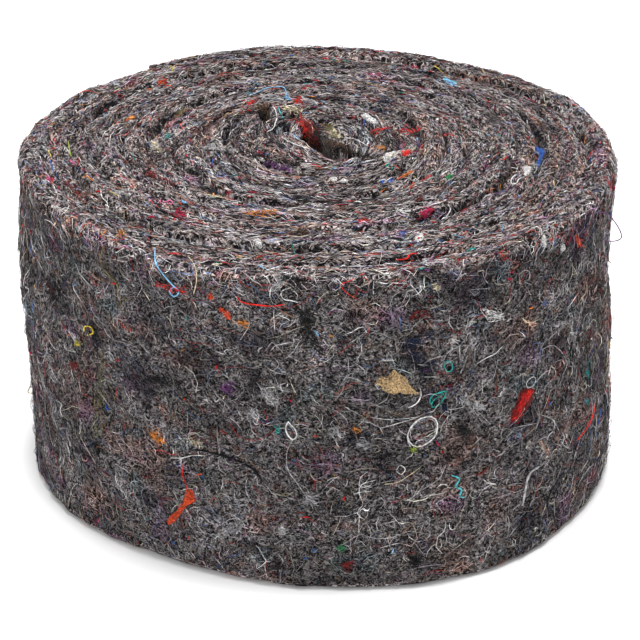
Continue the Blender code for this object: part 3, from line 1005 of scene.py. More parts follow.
def wall_push(turned, rise):
    """Slow waves and felted relief of the outer wall, which die away towards both edges."""
    bearing = np.radians(START_BEARING + 360.0 * turned)
    push = relief(turned * WALL_LENGTH, rise * STRIP_WIDTH, WALL_RELIEF, WALL_RELIEF_SEED)
    for height, round_waves, up_waves, phase in WALL_LUMPS:
        push += height * np.sin(round_waves * bearing + math.tau * up_waves * rise + phase)
    push *= np.sqrt(np.sin(math.pi * np.clip(rise, 0.0, 1.0)))
    return push[..., None] * outward(turned)[..., :2]


def wall_surface(turned, rise):
    """Points of the outside of the last turn: the outline between foot and rim, with its push."""
    place = plan(turned, np.ones(np.shape(turned)), rise) + wall_push(turned, rise)
    high = groove_height(turned + 1.0, True)
    height = FOOT_ROUNDING + rise * (high - FOOT_ROUNDING)
    return np.concatenate((place, height[..., None]), axis=-1)


def new_piece(name, points, faces, material):
    """A mesh object at the origin from arrays of points and lists of faces, riding on the roll."""
    mesh = bpy.data.meshes.new(name)
    mesh.from_pydata(points.tolist(), [], faces)
    mesh.shade_smooth()
    mesh.materials.append(material)
    piece = bpy.data.objects.new(name, mesh)
    bpy.context.scene.collection.objects.link(piece)
    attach(piece, BODY)
    return piece


def add_map(piece, name, corners):
    """A UV map from an array with a row for each corner of each face."""
    made = piece.data.uv_layers.new(name=name)
    made.uv.foreach_set("vector", corners.astype(np.float32).ravel())


def add_values(piece, name, values):
    """A number for each point."""
    made = piece.data.attributes.new(name, "FLOAT", "POINT")
    made.data.foreach_set("value", values.astype(np.float32))


def add_colours(piece, name, colours):
    """A colour for each point."""
    made = piece.data.attributes.new(name, "FLOAT_COLOR", "POINT")
    covering = np.column_stack((colours, np.ones(len(colours))))
    made.data.foreach_set("color", covering.astype(np.float32).ravel())


def grid_cells(grid):
    """The four corners of each cell of a grid, for vertex numbers or for what they carry."""
    cells = np.stack((grid[:-1, :-1], grid[:-1, 1:], grid[1:, 1:], grid[1:, :-1]), axis=2)
    return cells.reshape(-1, *cells.shape[2:])


def groove_shade(groove):
    """How strong the painted shade in the line between two turns is, which comes and goes along it."""
    places = np.stack((path_length(groove) / GROOVE_SHADE_GRAIN, groove * 0.0, groove * 0.0), axis=-1)
    return np.clip(GROOVE_SHADE + grain(places, GROOVE_SHADE_SEED), 0.0, 1.0)


def groove_painted_shade(turned, across):
    """Painted shade on a cut edge: how near places are to a groove, times how strong the groove's shade is
    there, with painted shade added in the hollows.
    """
    inner = np.where(turned < 1.0, 0.0, swell(across / GROOVE_SHARE)) * groove_shade(turned)
    outer = swell((1.0 - across) / GROOVE_SHARE) * groove_shade(turned + 1.0)
    hollow = hollow_depth(plan(turned, across, np.ones(np.shape(turned)))) / HOLLOW_SHADE_DEPTH
    return np.clip(inner + np.where(turned > TURNS - 1.0, 0.0, outer) + hollow, 0.0, 1.0)


def edge_sheet(first, top):
    """A cut edge as points, a grid of vertex numbers, places on the felt and the painted shade of the
    grooves and hollows. The points are the groove line, which runs on round the outer side of the last turn,
    and then a line for each share across the felt. A turn's last column is the groove line, one turn further
    on."""
    strip = np.arange(STRIP_STEPS + 1) / STEPS_PER_TURN
    last = strip[-STEPS_PER_TURN:]
    turned = np.concatenate([strip, last] + [strip] * len(EDGE_LINES))
    across = [np.zeros(len(strip)), np.ones(len(last))]
    across = np.concatenate(across + [np.full(len(strip), share) for share in EDGE_LINES])
    groove = first + np.arange(len(strip) + len(last))
    lines = groove[-1] + 1 + np.arange(len(EDGE_LINES) * len(strip)).reshape(len(EDGE_LINES), -1)
    numbers = np.column_stack((groove[: len(strip)], *lines, groove[STEPS_PER_TURN:]))
    shares = np.array((0.0, *EDGE_LINES, 1.0))
    along = path_length(strip)[:, None] * EDGE_SQUEEZE
    felt = np.stack(np.broadcast_arrays(along, (strip[:, None] + shares) * PITCH), axis=-1)
    points = edge_surface(turned, across, top)
    return points, numbers, felt, groove_painted_shade(turned, across), edge_patches(turned, across)


def wall_sheet(points, foot, rim, first_step, rows):
    """A wall as points, a grid of vertex numbers and places on the felt. Its foot and rim are one
    turn of the cut edges' outermost column and then their way back across the strip's cut end, and
    the rows between them follow the outline at their height."""
    outer = first_step > 0
    column = -1 if outer else 0
    start = first_step - STEPS_PER_TURN if outer else first_step
    steps = np.arange(start, start + STEPS_PER_TURN + 1)
    back = np.arange(len(EDGE_LINES), 0, -1)
    loops = [np.concatenate((grid[steps, column], grid[first_step, back])) for grid in (foot, rim)]
    rise = (np.arange(1, rows) / rows)[:, None] * np.ones(len(loops[0]))
    steps = np.concatenate((steps, np.full(len(back), first_step)))
    turned = steps / STEPS_PER_TURN * np.ones(rise.shape)
    end_shares = np.array((0.0, *EDGE_LINES, 1.0))[back]
    across = np.append(np.full(STEPS_PER_TURN + 1, float(outer)), end_shares) * np.ones(rise.shape)
    place = plan(turned, across, rise)
    if outer:
        end_push = wall_push(np.full(rise.shape, TURNS - 1.0), rise)
        place += across[..., None] * wall_push(turned, rise) + (1.0 - across[..., None]) * end_push
    height = points[loops[0], 2] * (1.0 - rise) + points[loops[1], 2] * rise
    middle = np.dstack((place, height)).reshape(-1, 3)
    numbers = (len(points) + np.arange(len(middle))).reshape(rise.shape)
    numbers = np.vstack((loops[0], numbers, loops[1]))
    numbers = np.column_stack((numbers, numbers[:, 0]))
    along = turned[0] * WALL_LENGTH + (1.0 - across[0]) * PITCH
    along = np.append(along, along[-1] + EDGE_LINES[0] * PITCH)
    up = np.linspace(0.0, STRIP_WIDTH, rows + 1)[:, None]
    colours = wall_patches(turned, rise).reshape(-1, 3)
    return middle, numbers, np.stack(np.broadcast_arrays(along, up), axis=-1), colours


def baked_places(points, grid, felt, place, level):
    """Where a grid lies in the unit square: in plan if it is level, or else as the felt lies flat."""
    flat = points[grid][..., :2] if level else felt - felt[0, 0]
    return flat * MAP_SCALE + place


def wound_strip():
    """The whole strip: points, faces, the corners' places on the felt and in the unit square, and for each
    point how near it is to a cut edge, how much painted shade of the grooves and hollows it has, and the
    colour of its patch."""
    foot_points, foot, foot_felt, foot_painted_shade, foot_colours = edge_sheet(0, False)
    rim_points, rim, rim_felt, rim_painted_shade, rim_colours = edge_sheet(len(foot_points), True)
    points = np.concatenate((foot_points, rim_points))
    wall_points, wall, wall_felt, wall_colours = wall_sheet(points, foot, rim, STRIP_STEPS, WALL_ROWS)
    points = np.concatenate((points, wall_points))
    eye_points, eye, eye_felt, eye_colours = wall_sheet(points, foot, rim, 0, EYE_ROWS)
    points = np.concatenate((points, eye_points))
    half = STEPS_PER_TURN // 2
    first_half, second_half = np.s_[:, : half + 1], np.s_[:, half:]
    first_felt, second_felt = wall_felt[first_half], wall_felt[second_half]
    first_map = baked_places(points, wall, first_felt, WALL_MAP_PLACES[0], False)
    second_map = baked_places(points, wall, second_felt, WALL_MAP_PLACES[1], False)
    eye_flat = eye_felt * (EYE_MAP_SQUEEZE, 1.0)
    sheets = (
        (foot, foot_felt, baked_places(points, foot, foot_felt, FOOT_MAP_PLACE, True), True),
        (rim, rim_felt, baked_places(points, rim, rim_felt, RIM_MAP_PLACE, True), False),
        (wall[first_half], first_felt, first_map, False),
        (wall[second_half], second_felt, second_map, False),
        (eye, eye_felt, baked_places(points, eye, eye_flat, EYE_MAP_PLACE, False), True),
    )
    quads, felt, baked = [], [], []
    for numbers, felt_places, map_places, turned_over in sheets:
        turn = slice(None, None, -1 if turned_over else 1)
        quads.append(grid_cells(numbers)[:, turn])
        felt.append(grid_cells(felt_places)[:, turn])
        baked.append(grid_cells(map_places)[:, turn])
    rest = np.zeros(len(wall_points) + len(eye_points))
    from_rim = (STRIP_WIDTH - TOP_ROUNDING - points[len(foot_points) + len(rim_points) :, 2]) / EDGE_FADE
    near_edge = np.append(np.ones(len(points) - len(rest)), np.clip(1.0 - from_rim, 0.0, 1.0))
    painted_shade_share = np.concatenate((foot_painted_shade, rim_painted_shade, rest))
    colours = np.concatenate((foot_colours, rim_colours, wall_colours, eye_colours))
    faces, felt, baked = (np.concatenate(each) for each in (quads, felt, baked))
    return points, faces, felt, baked, near_edge, painted_shade_share, colours


def unit(vectors):
    """Directions of one unit's length."""
    return vectors / np.maximum(np.linalg.norm(vectors, axis=-1, keepdims=True), SMALLEST)


def tubes(paths, radii, sides):
    """Closed tubes along many paths at once. A ring stands square to the path at each knot, turned as
    little as possible from the ring before it, and each end is closed by a face. Points are ordered
    by path, knot and side."""
    count, knots = paths.shape[:2]
    ahead = unit(np.gradient(paths, axis=1))
    side = np.cross(ahead[:, 0], FIRST_SIDE)
    around = np.arange(sides) / sides * math.tau
    rings = []
    for knot in range(knots):
        way = ahead[:, knot]
        side = unit(side - (side * way).sum(axis=1, keepdims=True) * way)
        other = np.cross(way, side)
        spokes = np.cos(around)[:, None] * side[:, None] + np.sin(around)[:, None] * other[:, None]
        rings.append(paths[:, knot, None] + radii[:, knot, None, None] * spokes)
    numbers = np.arange(count * knots * sides).reshape(count, knots, sides)
    turned = np.roll(numbers, -1, axis=2)
    quads = np.stack((numbers[:, :-1], turned[:, :-1], turned[:, 1:], numbers[:, 1:]), axis=-1)
    faces = quads.reshape(-1, 4).tolist() + numbers[:, 0, ::-1].tolist() + numbers[:, -1].tolist()
    return np.stack(rings, axis=1).reshape(-1, 3), faces


def tube_map(count, knots, sides):
    """Places in the unit square for the corners that tubes makes: a cell of its own for each tube,
    with its length along the cell, its sides across it, and its two end faces in the margins."""
    cells = math.ceil(math.sqrt(count))
    corner = np.stack(np.divmod(np.arange(count), cells), axis=-1) / cells
    along = MAP_CELL_MARGIN + (1.0 - 2.0 * MAP_CELL_MARGIN) * np.arange(knots) / (knots - 1)
    across = MAP_CELL_MARGIN + (1.0 - 2.0 * MAP_CELL_MARGIN) * np.arange(sides + 1) / sides
    grid = np.stack(np.meshgrid(along, across, indexing="ij"), axis=-1)
    spot = np.arange(sides) / sides * math.tau
    spot = np.stack((np.cos(spot), np.sin(spot)), axis=-1) + 1.0
    spot *= MAP_END_SHARE * MAP_CELL_MARGIN / 2.0
    parts = []
    for shape in (grid_cells(grid).reshape(-1, 2), spot[::-1], 1.0 - spot):
        parts.append((corner[:, None] + shape / cells).reshape(-1, 2))
    return np.concatenate(parts)


def twist_map(paths, sides):
    """Places on the threads that tubes makes, for the corners of its faces: the length along a thread
    in twists and the share of the way round it. The two end faces lie at nought."""
    knots = paths.shape[1]
    along = np.arange(knots) / (knots - 1)
    grid = np.stack(np.meshgrid(along, np.arange(sides + 1) / sides, indexing="ij"), axis=-1)
    twists = np.linalg.norm(np.diff(paths, axis=1), axis=2).sum(axis=1) / TWIST_LENGTH
    scale = np.column_stack((twists, np.ones(len(twists))))
    body = grid_cells(grid).reshape(-1, 2) * scale[:, None]
    return np.concatenate((body.reshape(-1, 2), np.zeros((2 * len(paths) * sides, 2))))


def tube_piece(name, paths, radii, colours, material, sides=3):
    """Tubes joined in one piece, each with its colour."""
    points, faces = tubes(paths, radii, sides)
    piece = new_piece(name, points, faces, material)
    add_colours(piece, "tint", np.repeat(colours, paths.shape[1] * sides, axis=0))
    add_map(piece, "OFBake", tube_map(len(paths), paths.shape[1], sides))
    return piece


def taper(knots, start, power):
    """Widths along a fibre: the sine of the way along, raised to a power, from a little past one end
    to a little before the other."""
    return np.sin(math.pi * np.linspace(start, 1.0 - start, knots)) ** power


def tapered(rng, count, knots, radius):
    """Radii that vary from fibre to fibre and narrow to both ends."""
    return radius * rng.lognormal(0.0, RADIUS_SPREAD, count)[:, None] * taper(knots, *FIBRE_TAPER)


def curls(rng, heading, knots, length, bend):
    """Offsets of wandering paths in a plane about their middles. The heading turns evenly along each
    path, by its own amount, and by a random step at each knot."""
    count = len(heading)
    even = rng.normal(0.0, bend, (count, 1)) * np.linspace(-0.5, 0.5, knots - 1)
    uneven = rng.normal(0.0, bend / knots, (count, knots - 1)).cumsum(axis=1)
    turn = heading[:, None] + even + uneven
    steps = np.stack((np.cos(turn), np.sin(turn)), axis=-1) * (length / (knots - 1))[:, None, None]
    offsets = np.concatenate((np.zeros((count, 1, 2)), steps.cumsum(axis=1)), axis=1)
    return offsets - offsets.mean(axis=1, keepdims=True)


def lifts(rng, count, knots, low, high, arch):
    """Heights over the felt: an even part for each fibre and an arch by the sine of the way along."""
    even = rng.uniform(low, high, (count, 1))
    arched = rng.exponential(arch, (count, 1)) * np.sin(math.pi * np.linspace(0.0, 1.0, knots))
    return even + arched


def fibre_colours(rng, patch, brightness):
    """Colours of loose fibres: a kind drawn by its share, times the colour of its patch of felt, made
    lighter or darker at random."""
    table = np.array(FIBRE_KINDS)
    kinds = rng.choice(len(table), size=len(patch), p=table[:, 0] / table[:, 0].sum())
    shade = brightness * rng.lognormal(0.0, FIBRE_SHADES, (len(patch), 1))
    return np.clip(table[kinds, 1:] * shade * patch, *FIBRE_LIMITS)


def wall_paths(rng, length, knots, bend):
    """Fibres on the outer wall, as paths over its length and height. Their headings spread about a
    slow flow, which turns with a grain over the wall."""
    count = len(length)
    along = rng.uniform(0.0, WALL_LENGTH, (count, 1))
    high = rng.uniform(0.0, STRIP_WIDTH, (count, 1))
    flow = grain(np.hstack((along, high, high * 0.0)) / FLOW_GRAIN, FLOW_SEED) * math.pi
    offsets = curls(rng, flow + rng.normal(0.0, FLOW_SPREAD, count), knots, length, bend)
    along = along + offsets[..., 0]
    along -= np.minimum(along.min(axis=1, keepdims=True), 0.0)
    along -= np.maximum(along.max(axis=1, keepdims=True) - WALL_LENGTH, 0.0)
    rise = np.clip((high + offsets[..., 1]) / STRIP_WIDTH, EDGE_MARGIN, 1.0 - EDGE_MARGIN)
    turned = TURNS - 1.0 + along / WALL_LENGTH
    lift = lifts(rng, count, knots, *WALL_LIFT)
    paths = wall_surface(turned, rise) + lift[..., None] * outward(turned)
    return paths, wall_patches(turned[:, knots // 2], rise[:, knots // 2])


def edge_paths(rng, count, length, knots, top):
    """Fibres on a cut edge, most of them nearly along the strip, and darkened by painted shade in the
    grooves and hollows. A step round the roll also moves outwards by its share of a turn, so a path keeps to
    its own turn unless it heads across."""
    spare = count + count // 3
    length = np.resize(length, spare)
    offsets = curls(rng, rng.normal(0.0, EDGE_SPREAD, spare), knots, length, EDGE_BEND)
    middle = np.sqrt(rng.random((spare, 1))) * WHOLE_PATH
    bearing = offsets[..., 0] / (math.tau * PITCH * np.maximum(middle, FIRST_FIBRES))
    share = middle + bearing + offsets[..., 1] / PITCH
    bearing = bearing + rng.random((spare, 1))
    turned = np.floor(share - bearing) + bearing
    inside = ((turned > 0.0) & (turned < TURNS)).all(axis=1)
    turned, across = turned[inside][:count], (share - turned)[inside][:count]
    places = edge_surface(turned, across, top)
    if top:
        places[..., 2] += lifts(rng, len(places), knots, *EDGE_LIFT)
    turned, across = turned[:, knots // 2], across[:, knots // 2]
    groove_shade_share = groove_painted_shade(turned, across)
    # Painted shade: fibres in the grooves and hollows are darkened
    return places, edge_patches(turned, across) * (1.0 - GROOVE_PAINTED_SHADE * groove_shade_share)[:, None]


def rim_paths(rng, count, length):
    """Fibres that cross the rounded rim, from the wall on to the cut edge."""
    offsets = curls(rng, rng.uniform(0.0, math.pi, count), FIBRE_KNOTS, length, FIBRE_BEND)
    along = rng.uniform(RIM_MARGIN, WALL_LENGTH - RIM_MARGIN, (count, 1)) + offsets[..., 0]
    turned = TURNS - 1.0 + np.clip(along / WALL_LENGTH, 0.0, 1.0)
    inward = rng.normal(0.0, RIM_SPREAD, (count, 1)) + offsets[..., 1]
    on_top = edge_surface(turned, 1.0 - np.clip(inward, 0.0, PITCH) / PITCH)
    on_wall = wall_surface(turned, 1.0 + np.clip(inward, -STRIP_WIDTH, 0.0) / STRIP_WIDTH)
    places = np.where(inward[..., None] > 0.0, on_top, on_wall)
    tilt = np.clip(0.5 + inward / (2.0 * RIM_SPREAD), 0.0, 1.0)[..., None] * math.pi / 2.0
    away = outward(turned) * np.cos(tilt) + np.array(UPWARD) * np.sin(tilt)
    paths = places + lifts(rng, count, FIBRE_KNOTS, *RIM_LIFT)[..., None] * away
    middle = FIBRE_KNOTS // 2
    return paths, edge_patches(turned[:, middle], np.ones(count))


def picture_ray(across, down):
    """Direction from the camera through a place in the photograph, in pixels from its top left."""
    right = np.array((1.0, 0.0, 0.0))
    ahead = np.array((0.0, math.cos(CAMERA_ELEVATION), -math.sin(CAMERA_ELEVATION)))
    up = np.array((0.0, math.sin(CAMERA_ELEVATION), math.cos(CAMERA_ELEVATION)))
    return (
        ahead
        + right * (across - ROLL_PIXEL[0]) / FOCAL_PIXELS
        - up * (down - ROLL_PIXEL[1]) / FOCAL_PIXELS
    )


def camera_place():
    """Where the camera stands: back from the roll's middle along the ray through its pixel."""
    ahead = picture_ray(*ROLL_PIXEL)
    return np.array((*AXIS, STRIP_WIDTH / 2.0)) - ahead * CAMERA_DISTANCE


def level_spot(across, down):
    """Where the ray through a pixel of the photograph meets the level of the top cut edge."""
    start, way = camera_place(), picture_ray(across, down)
    return (start + way * (STRIP_WIDTH - start[2]) / way[2])[:2]


def strip_tree():
    """The fine strip's faces, ready for rays to be cast at them."""
    strip = bpy.data.objects["felt_strip"]
    return BVHTree.FromObject(strip, bpy.context.evaluated_depsgraph_get())


def on_felt(tree, spots):
    """Places where rays through pixels of the photograph meet the felt, and the way that the felt
    faces there. A ray that passes the felt by ends as far off as the one before it."""
    start = Vector(camera_place())
    reach, facing = CAMERA_DISTANCE, Vector((0.0, -1.0, 0.0))
    places, normals = [], []
    for across, down in spots:
        way = Vector(picture_ray(across, down)).normalized()
        hit, normal, _, distance = tree.ray_cast(start, way)
        if hit is not None:
            reach, facing = distance, normal
        places.append(start + way * reach)
        normals.append(facing)
    return np.array(places), np.array(normals)


def smooth_line(corners, count):
    """A curve through a few places, in even steps: a cubic between each place and the next."""
    corners = np.array(corners, dtype=float)
    ends = (2.0 * corners[:1] - corners[1:2], 2.0 * corners[-1:] - corners[-2:-1])
    padded = np.concatenate((ends[0], corners, ends[1]))
    part = np.linspace(0.0, 1.0, CURVE_STEPS, endpoint=False)[:, None, None]
    line = cubic([padded[k : len(padded) - 3 + k] for k in range(4)], part)
    line = np.concatenate((line.transpose(1, 0, 2).reshape(-1, corners.shape[1]), corners[-1:]))
    length = np.append(0.0, np.linalg.norm(np.diff(line, axis=0), axis=1).cumsum())
    even = np.linspace(0.0, length[-1], count)
    return np.stack([np.interp(even, length, column) for column in line.T], axis=1)


def clump_paths(rng, centres, normals, ways, length, spread):
    """Short curled fibres about their centres, in the plane that each normal stands on, with headings
    that spread about a way along that plane."""
    ways = unit(ways - (ways * normals).sum(axis=1, keepdims=True) * normals)
    sideways = np.cross(normals, ways)
    offsets = curls(rng, rng.normal(0.0, spread, len(centres)), SCRAP_KNOTS, length, FIBRE_BEND)
    flat = offsets[..., :1] * ways[:, None] + offsets[..., 1:] * sideways[:, None]
    lift = lifts(rng, len(centres), SCRAP_KNOTS, *SCRAP_LIFT)
    return centres[:, None] + flat + lift[..., None] * normals[:, None]


def seen_scraps(rng, tree):
    """The scraps of the photograph: paths and colours of their fibres."""
    paths, colours = [], []
    for yarn, half_width, fibre, count, *ends in SCRAPS:
        ends = np.array(ends, dtype=float).reshape(2, 2)
        spots = ends[0] + rng.random((count, 1)) * (ends[1] - ends[0])
        spots += rng.normal(0.0, 0.5 * half_width, (count, 2))
        centres, normals = on_felt(tree, spots)
        marks, _ = on_felt(tree, ends)
        length = fibre * PIXEL_SIZE * rng.uniform(*SEEN_LENGTHS, count)
        ways = np.repeat((marks[1] - marks[0])[None], count, axis=0)
        paths.append(clump_paths(rng, centres, normals, ways, length, SCRAP_SPREAD))
        colours.append(np.array(YARNS[yarn]) * rng.lognormal(0.0, SCRAP_SHADES, (count, 1)))
    return np.concatenate(paths), np.concatenate(colours)


def hidden_turned(rng, shape):
    """Turns to places on the side of the wall that the photograph doesn't show. What would fall on
    the strip's cut end is carried past it."""
    share = rng.uniform(*HIDDEN_WALL, shape)
    return TURNS - 1.0 + np.where(share > END_SHARE, share - END_SHARE + PAST_END, share)


def strewn_scraps(rng):
    """More scraps, on the part of the wall that the photograph doesn't show."""
    paths, colours = [], []
    for _ in range(STREWN_SCRAPS):
        yarn = STREWN_YARNS[rng.integers(len(STREWN_YARNS))]
        count = rng.integers(*STREWN_COUNTS)
        size = rng.uniform(*STREWN_SIZES, 2)
        turned = hidden_turned(rng, 1) + rng.normal(0.0, size[0], count) / WALL_LENGTH
        rise = rng.uniform(*STREWN_RISE) + rng.normal(0.0, size[1], count) / STRIP_WIDTH
        rise = np.clip(rise, STREWN_MARGIN, 1.0 - STREWN_MARGIN)
        normals = outward(turned)
        slant = rng.uniform(0.0, math.pi)
        level = np.cross(UPWARD, normals)
        ways = math.cos(slant) * level + math.sin(slant) * np.array(UPWARD)
        length = rng.uniform(*STREWN_LENGTHS, count)
        paths.append(clump_paths(rng, wall_surface(turned, rise), normals, ways, length, SCRAP_SPREAD))
        colours.append(np.array(YARNS[yarn]) * rng.lognormal(0.0, SCRAP_SHADES, (count, 1)))
    return np.concatenate(paths), np.concatenate(colours)


def yarn_colours(rng, names, count):
    """Colours of yarns drawn at random from a list of their names, made lighter or darker."""
    picks = rng.integers(len(names), size=count)
    colours = np.array([YARNS[names[pick]] for pick in picks])
    return colours * rng.lognormal(0.0, YARN_SHADES, (count, 1))


def strewn_neps(rng):
    """Short thick ends of yarn, strewn over the top cut edge and all round the wall."""
    length = rng.uniform(*EDGE_NEP_LENGTHS, EDGE_NEPS)
    on_edge, _ = edge_paths(rng, EDGE_NEPS, length, NEP_KNOTS, True)
    length = rng.uniform(*WALL_NEP_LENGTHS, WALL_NEPS)
    on_wall, _ = wall_paths(rng, length, NEP_KNOTS, FIBRE_BEND)
    paths = np.concatenate((on_edge, on_wall))
    radii = tapered(rng, len(paths), NEP_KNOTS, NEP_RADIUS)
    return paths, radii, yarn_colours(rng, NEP_YARNS, len(paths))


def chip_ring(corners):
    """Pixels evenly round a matted scrap, counterclockwise as it is seen."""
    ring = smooth_line((*corners, corners[0]), CHIP_SIDES + 1)[:-1]
    across, down = ring.T
    area = (across * np.roll(down, -1) - np.roll(across, -1) * down).sum()
    return ring if area < 0.0 else ring[::-1]


def chips(rng, tree):
    """The matted scraps: thin lenses on the felt, thickest in the middle, with ragged rims. Each is a
    few rings and a middle point on its upper side, and a ring and a middle point underneath."""
    points, faces, colours, baked = [], [], [], []
    cells = math.ceil(math.sqrt(len(CHIPS)))
    around = np.arange(CHIP_SIDES) / CHIP_SIDES * math.tau
    circle = np.stack((np.cos(around), np.sin(around)), axis=-1)
    shares, heights = np.array(CHIP_TOP_RINGS + CHIP_UNDER_RINGS).T
    grid = np.arange(len(shares) * CHIP_SIDES).reshape(len(shares), CHIP_SIDES)
    closed = np.column_stack((grid, grid[:, 0]))
    tops = len(CHIP_TOP_RINGS)
    upper, side, under = closed[:tops], closed[[tops, 0]], closed[[tops + 1, tops]]
    quads = np.concatenate([grid_cells(part)[:, ::-1] for part in (upper[::-1], side, under)])
    flat = CHIP_MAP_RADIUS * np.repeat(shares, CHIP_SIDES)[:, None] * np.tile(circle, (len(shares), 1))
    middles = (CHIP_MAP_TOP,) * tops + (CHIP_MAP_UNDER,) * len(CHIP_UNDER_RINGS)
    flat += np.repeat(middles, CHIP_SIDES, axis=0)
    for number, (yarn, thick, corners) in enumerate(CHIPS):
        ring = chip_ring(corners)
        middle = ring.mean(axis=0)
        ragged = 1.0 + rng.normal(0.0, CHIP_RAGGED, CHIP_SIDES)[:, None]
        spots = middle + shares[:, None, None] * (ring - middle) * ragged
        places, normals = on_felt(tree, spots.reshape(-1, 2))
        lift = np.repeat(heights, CHIP_SIDES) * thick * MILLIMETRE
        points.append(places + lift[:, None] * normals)
        faces.append(quads + number * grid.size)
        shade = rng.lognormal(0.0, CHIP_SHADES, (grid.size, 1))
        colours.append(CHIP_BRIGHTNESS * np.array(YARNS[yarn]) * shade)
        baked.append((flat[quads] + np.divmod(number, cells)) / cells)
    return (np.concatenate(part) for part in (points, faces, colours, baked))


def seen_threads(tree):
    """The threads of the photograph: paths, radii and colours."""
    paths = []
    for _, radius, corners in THREADS:
        places, normals = on_felt(tree, smooth_line(corners, THREAD_KNOTS))
        paths.append(places + normals * (radius * MILLIMETRE + THREAD_LIFT))
    radii = np.array([radius for _, radius, _ in THREADS]) * MILLIMETRE
    return np.array(paths), radii, np.array([YARNS[yarn] for yarn, _, _ in THREADS])


def strewn_threads(rng):
    """More threads, curled on the part of the wall that the photograph doesn't show."""
    count = STREWN_THREADS
    length = rng.uniform(*STREWN_THREAD_LENGTHS, count)
    heading = rng.uniform(0.0, math.pi, count)
    offsets = curls(rng, heading, THREAD_KNOTS, length, STREWN_THREAD_BEND)
    turned = hidden_turned(rng, (count, 1)) + offsets[..., 0] / WALL_LENGTH
    rise = rng.uniform(*STREWN_THREAD_RISE, (count, 1)) + offsets[..., 1] / STRIP_WIDTH
    rise = np.clip(rise, STREWN_MARGIN, 1.0 - STREWN_MARGIN)
    radii = rng.uniform(*STREWN_THREAD_RADII, count)
    lift = radii[:, None] + lifts(rng, count, THREAD_KNOTS, *STREWN_THREAD_LIFT)
    paths = wall_surface(turned, rise) + lift[..., None] * outward(turned)
    return paths, radii, STREWN_BRIGHTNESS * yarn_colours(rng, STREWN_YARNS, count)


def node(tree, kind, inputs=None, **settings):
    """A shader node with its settings, and its inputs linked or set."""
    made = tree.nodes.new(kind)
    for name, value in settings.items():
        setattr(made, name, value)
    for key, value in (inputs or {}).items():
        if isinstance(value, bpy.types.NodeSocket):
            tree.links.new(value, made.inputs[key])
        else:
            made.inputs[key].default_value = value
    return made


def maths(tree, operation, first, second=0.0, third=0.0):
    """A sum, product or the like of up to three values."""
    inputs = {0: first, 1: second, 2: third}
    return node(tree, "ShaderNodeMath", inputs, operation=operation).outputs[0]


def span(tree, value, low, high, to_low=0.0, to_high=1.0):
    """A value's place between two others, eased at both ends and held within them."""
    inputs = {"Value": value, "From Min": low, "From Max": high, "To Min": to_low, "To Max": to_high}
    made = node(tree, "ShaderNodeMapRange", inputs, interpolation_type="SMOOTHSTEP")
    return made.outputs["Result"]


def blend(tree, factor, first, second, kind="MIX"):
    """Two colours blended by a factor."""
    made = node(tree, "ShaderNodeMix", {0: factor, 6: first, 7: second}, data_type="RGBA", blend_type=kind)
    return made.outputs[2]


def noise(tree, place, scale, detail=2.0, roughness=0.5):
    """A noise texture over a place."""
    inputs = {"Vector": place, "Scale": scale, "Detail": detail, "Roughness": roughness}
    return node(tree, "ShaderNodeTexNoise", inputs)


def stretched(tree, place, angle, length, width, start):
    """Places turned by an angle and measured in lengths along it and widths across it."""
    turned = (0.0, 0.0, angle)
    inputs = {"Vector": place, "Location": start, "Rotation": turned, "Scale": (length, width, 1.0)}
    return node(tree, "ShaderNodeMapping", inputs, vector_type="TEXTURE").outputs[0]


def new_material(name):
    """A material with its node tree and principled shader."""
    made = bpy.data.materials.new(name)
    made.use_nodes = True
    return made, made.node_tree, made.node_tree.nodes["Principled BSDF"]


def opaque(colour):
    """A colour with full cover."""
    return (*colour, 1.0)


def stretched_noises(tree, place, rows):
    """A noise for each row's angle, length, width and start."""
    return [noise(tree, stretched(tree, place, *row), 1.0, 1.0).outputs[0] for row in rows]


def strongest(tree, values):
    """The greatest of a few values."""
    greatest = values[0]
    for value in values[1:]:
        greatest = maths(tree, "MAXIMUM", greatest, value)
    return greatest


def strokes(tree, place, rows, low, high):
    """The strongest of a few stretched noises, each counted from one value to another."""
    values = [span(tree, value, low, high) for value in stretched_noises(tree, place, rows)]
    return strongest(tree, values)


def hair_lines(tree, place, rows):
    """Thin bands where a stretched noise passes its middle value, the strongest of a few."""
    values = []
    for value in stretched_noises(tree, place, rows):
        off = maths(tree, "ABSOLUTE", maths(tree, "SUBTRACT", value, 0.5))
        values.append(span(tree, off, *HAIR_RANGE))
    return strongest(tree, values)


def flecked(tree, place, scale, share, start, under):
    """A colour with flecks over it: small spots about the points of a cell pattern, on a share of the
    cells drawn at random, each in one of the fleck colours."""
    place = stretched(tree, place, 0.0, 1.0, 1.0, start)
    fleck = node(tree, "ShaderNodeTexVoronoi", {"Vector": place, "Scale": scale})
    near = span(tree, fleck.outputs["Distance"], *FLECK_RANGE)
    drawn = node(tree, "ShaderNodeSeparateColor", {0: fleck.outputs["Color"]})
    near = maths(tree, "MULTIPLY", near, maths(tree, "LESS_THAN", drawn.outputs[0], share))
    kinds = node(tree, "ShaderNodeValToRGB", {0: drawn.outputs[1]})
    kinds.color_ramp.interpolation = "CONSTANT"
    stops = kinds.color_ramp.elements
    stops.remove(stops[0])
    for k, shade in enumerate(FLECK_COLOURS):
        stop = stops[0] if k == 0 else stops.new(k / len(FLECK_COLOURS))
        stop.position = k / len(FLECK_COLOURS)
        stop.color = opaque(shade)
    return blend(tree, maths(tree, "MULTIPLY", near, FLECK_SHARE), under, kinds.outputs[0])


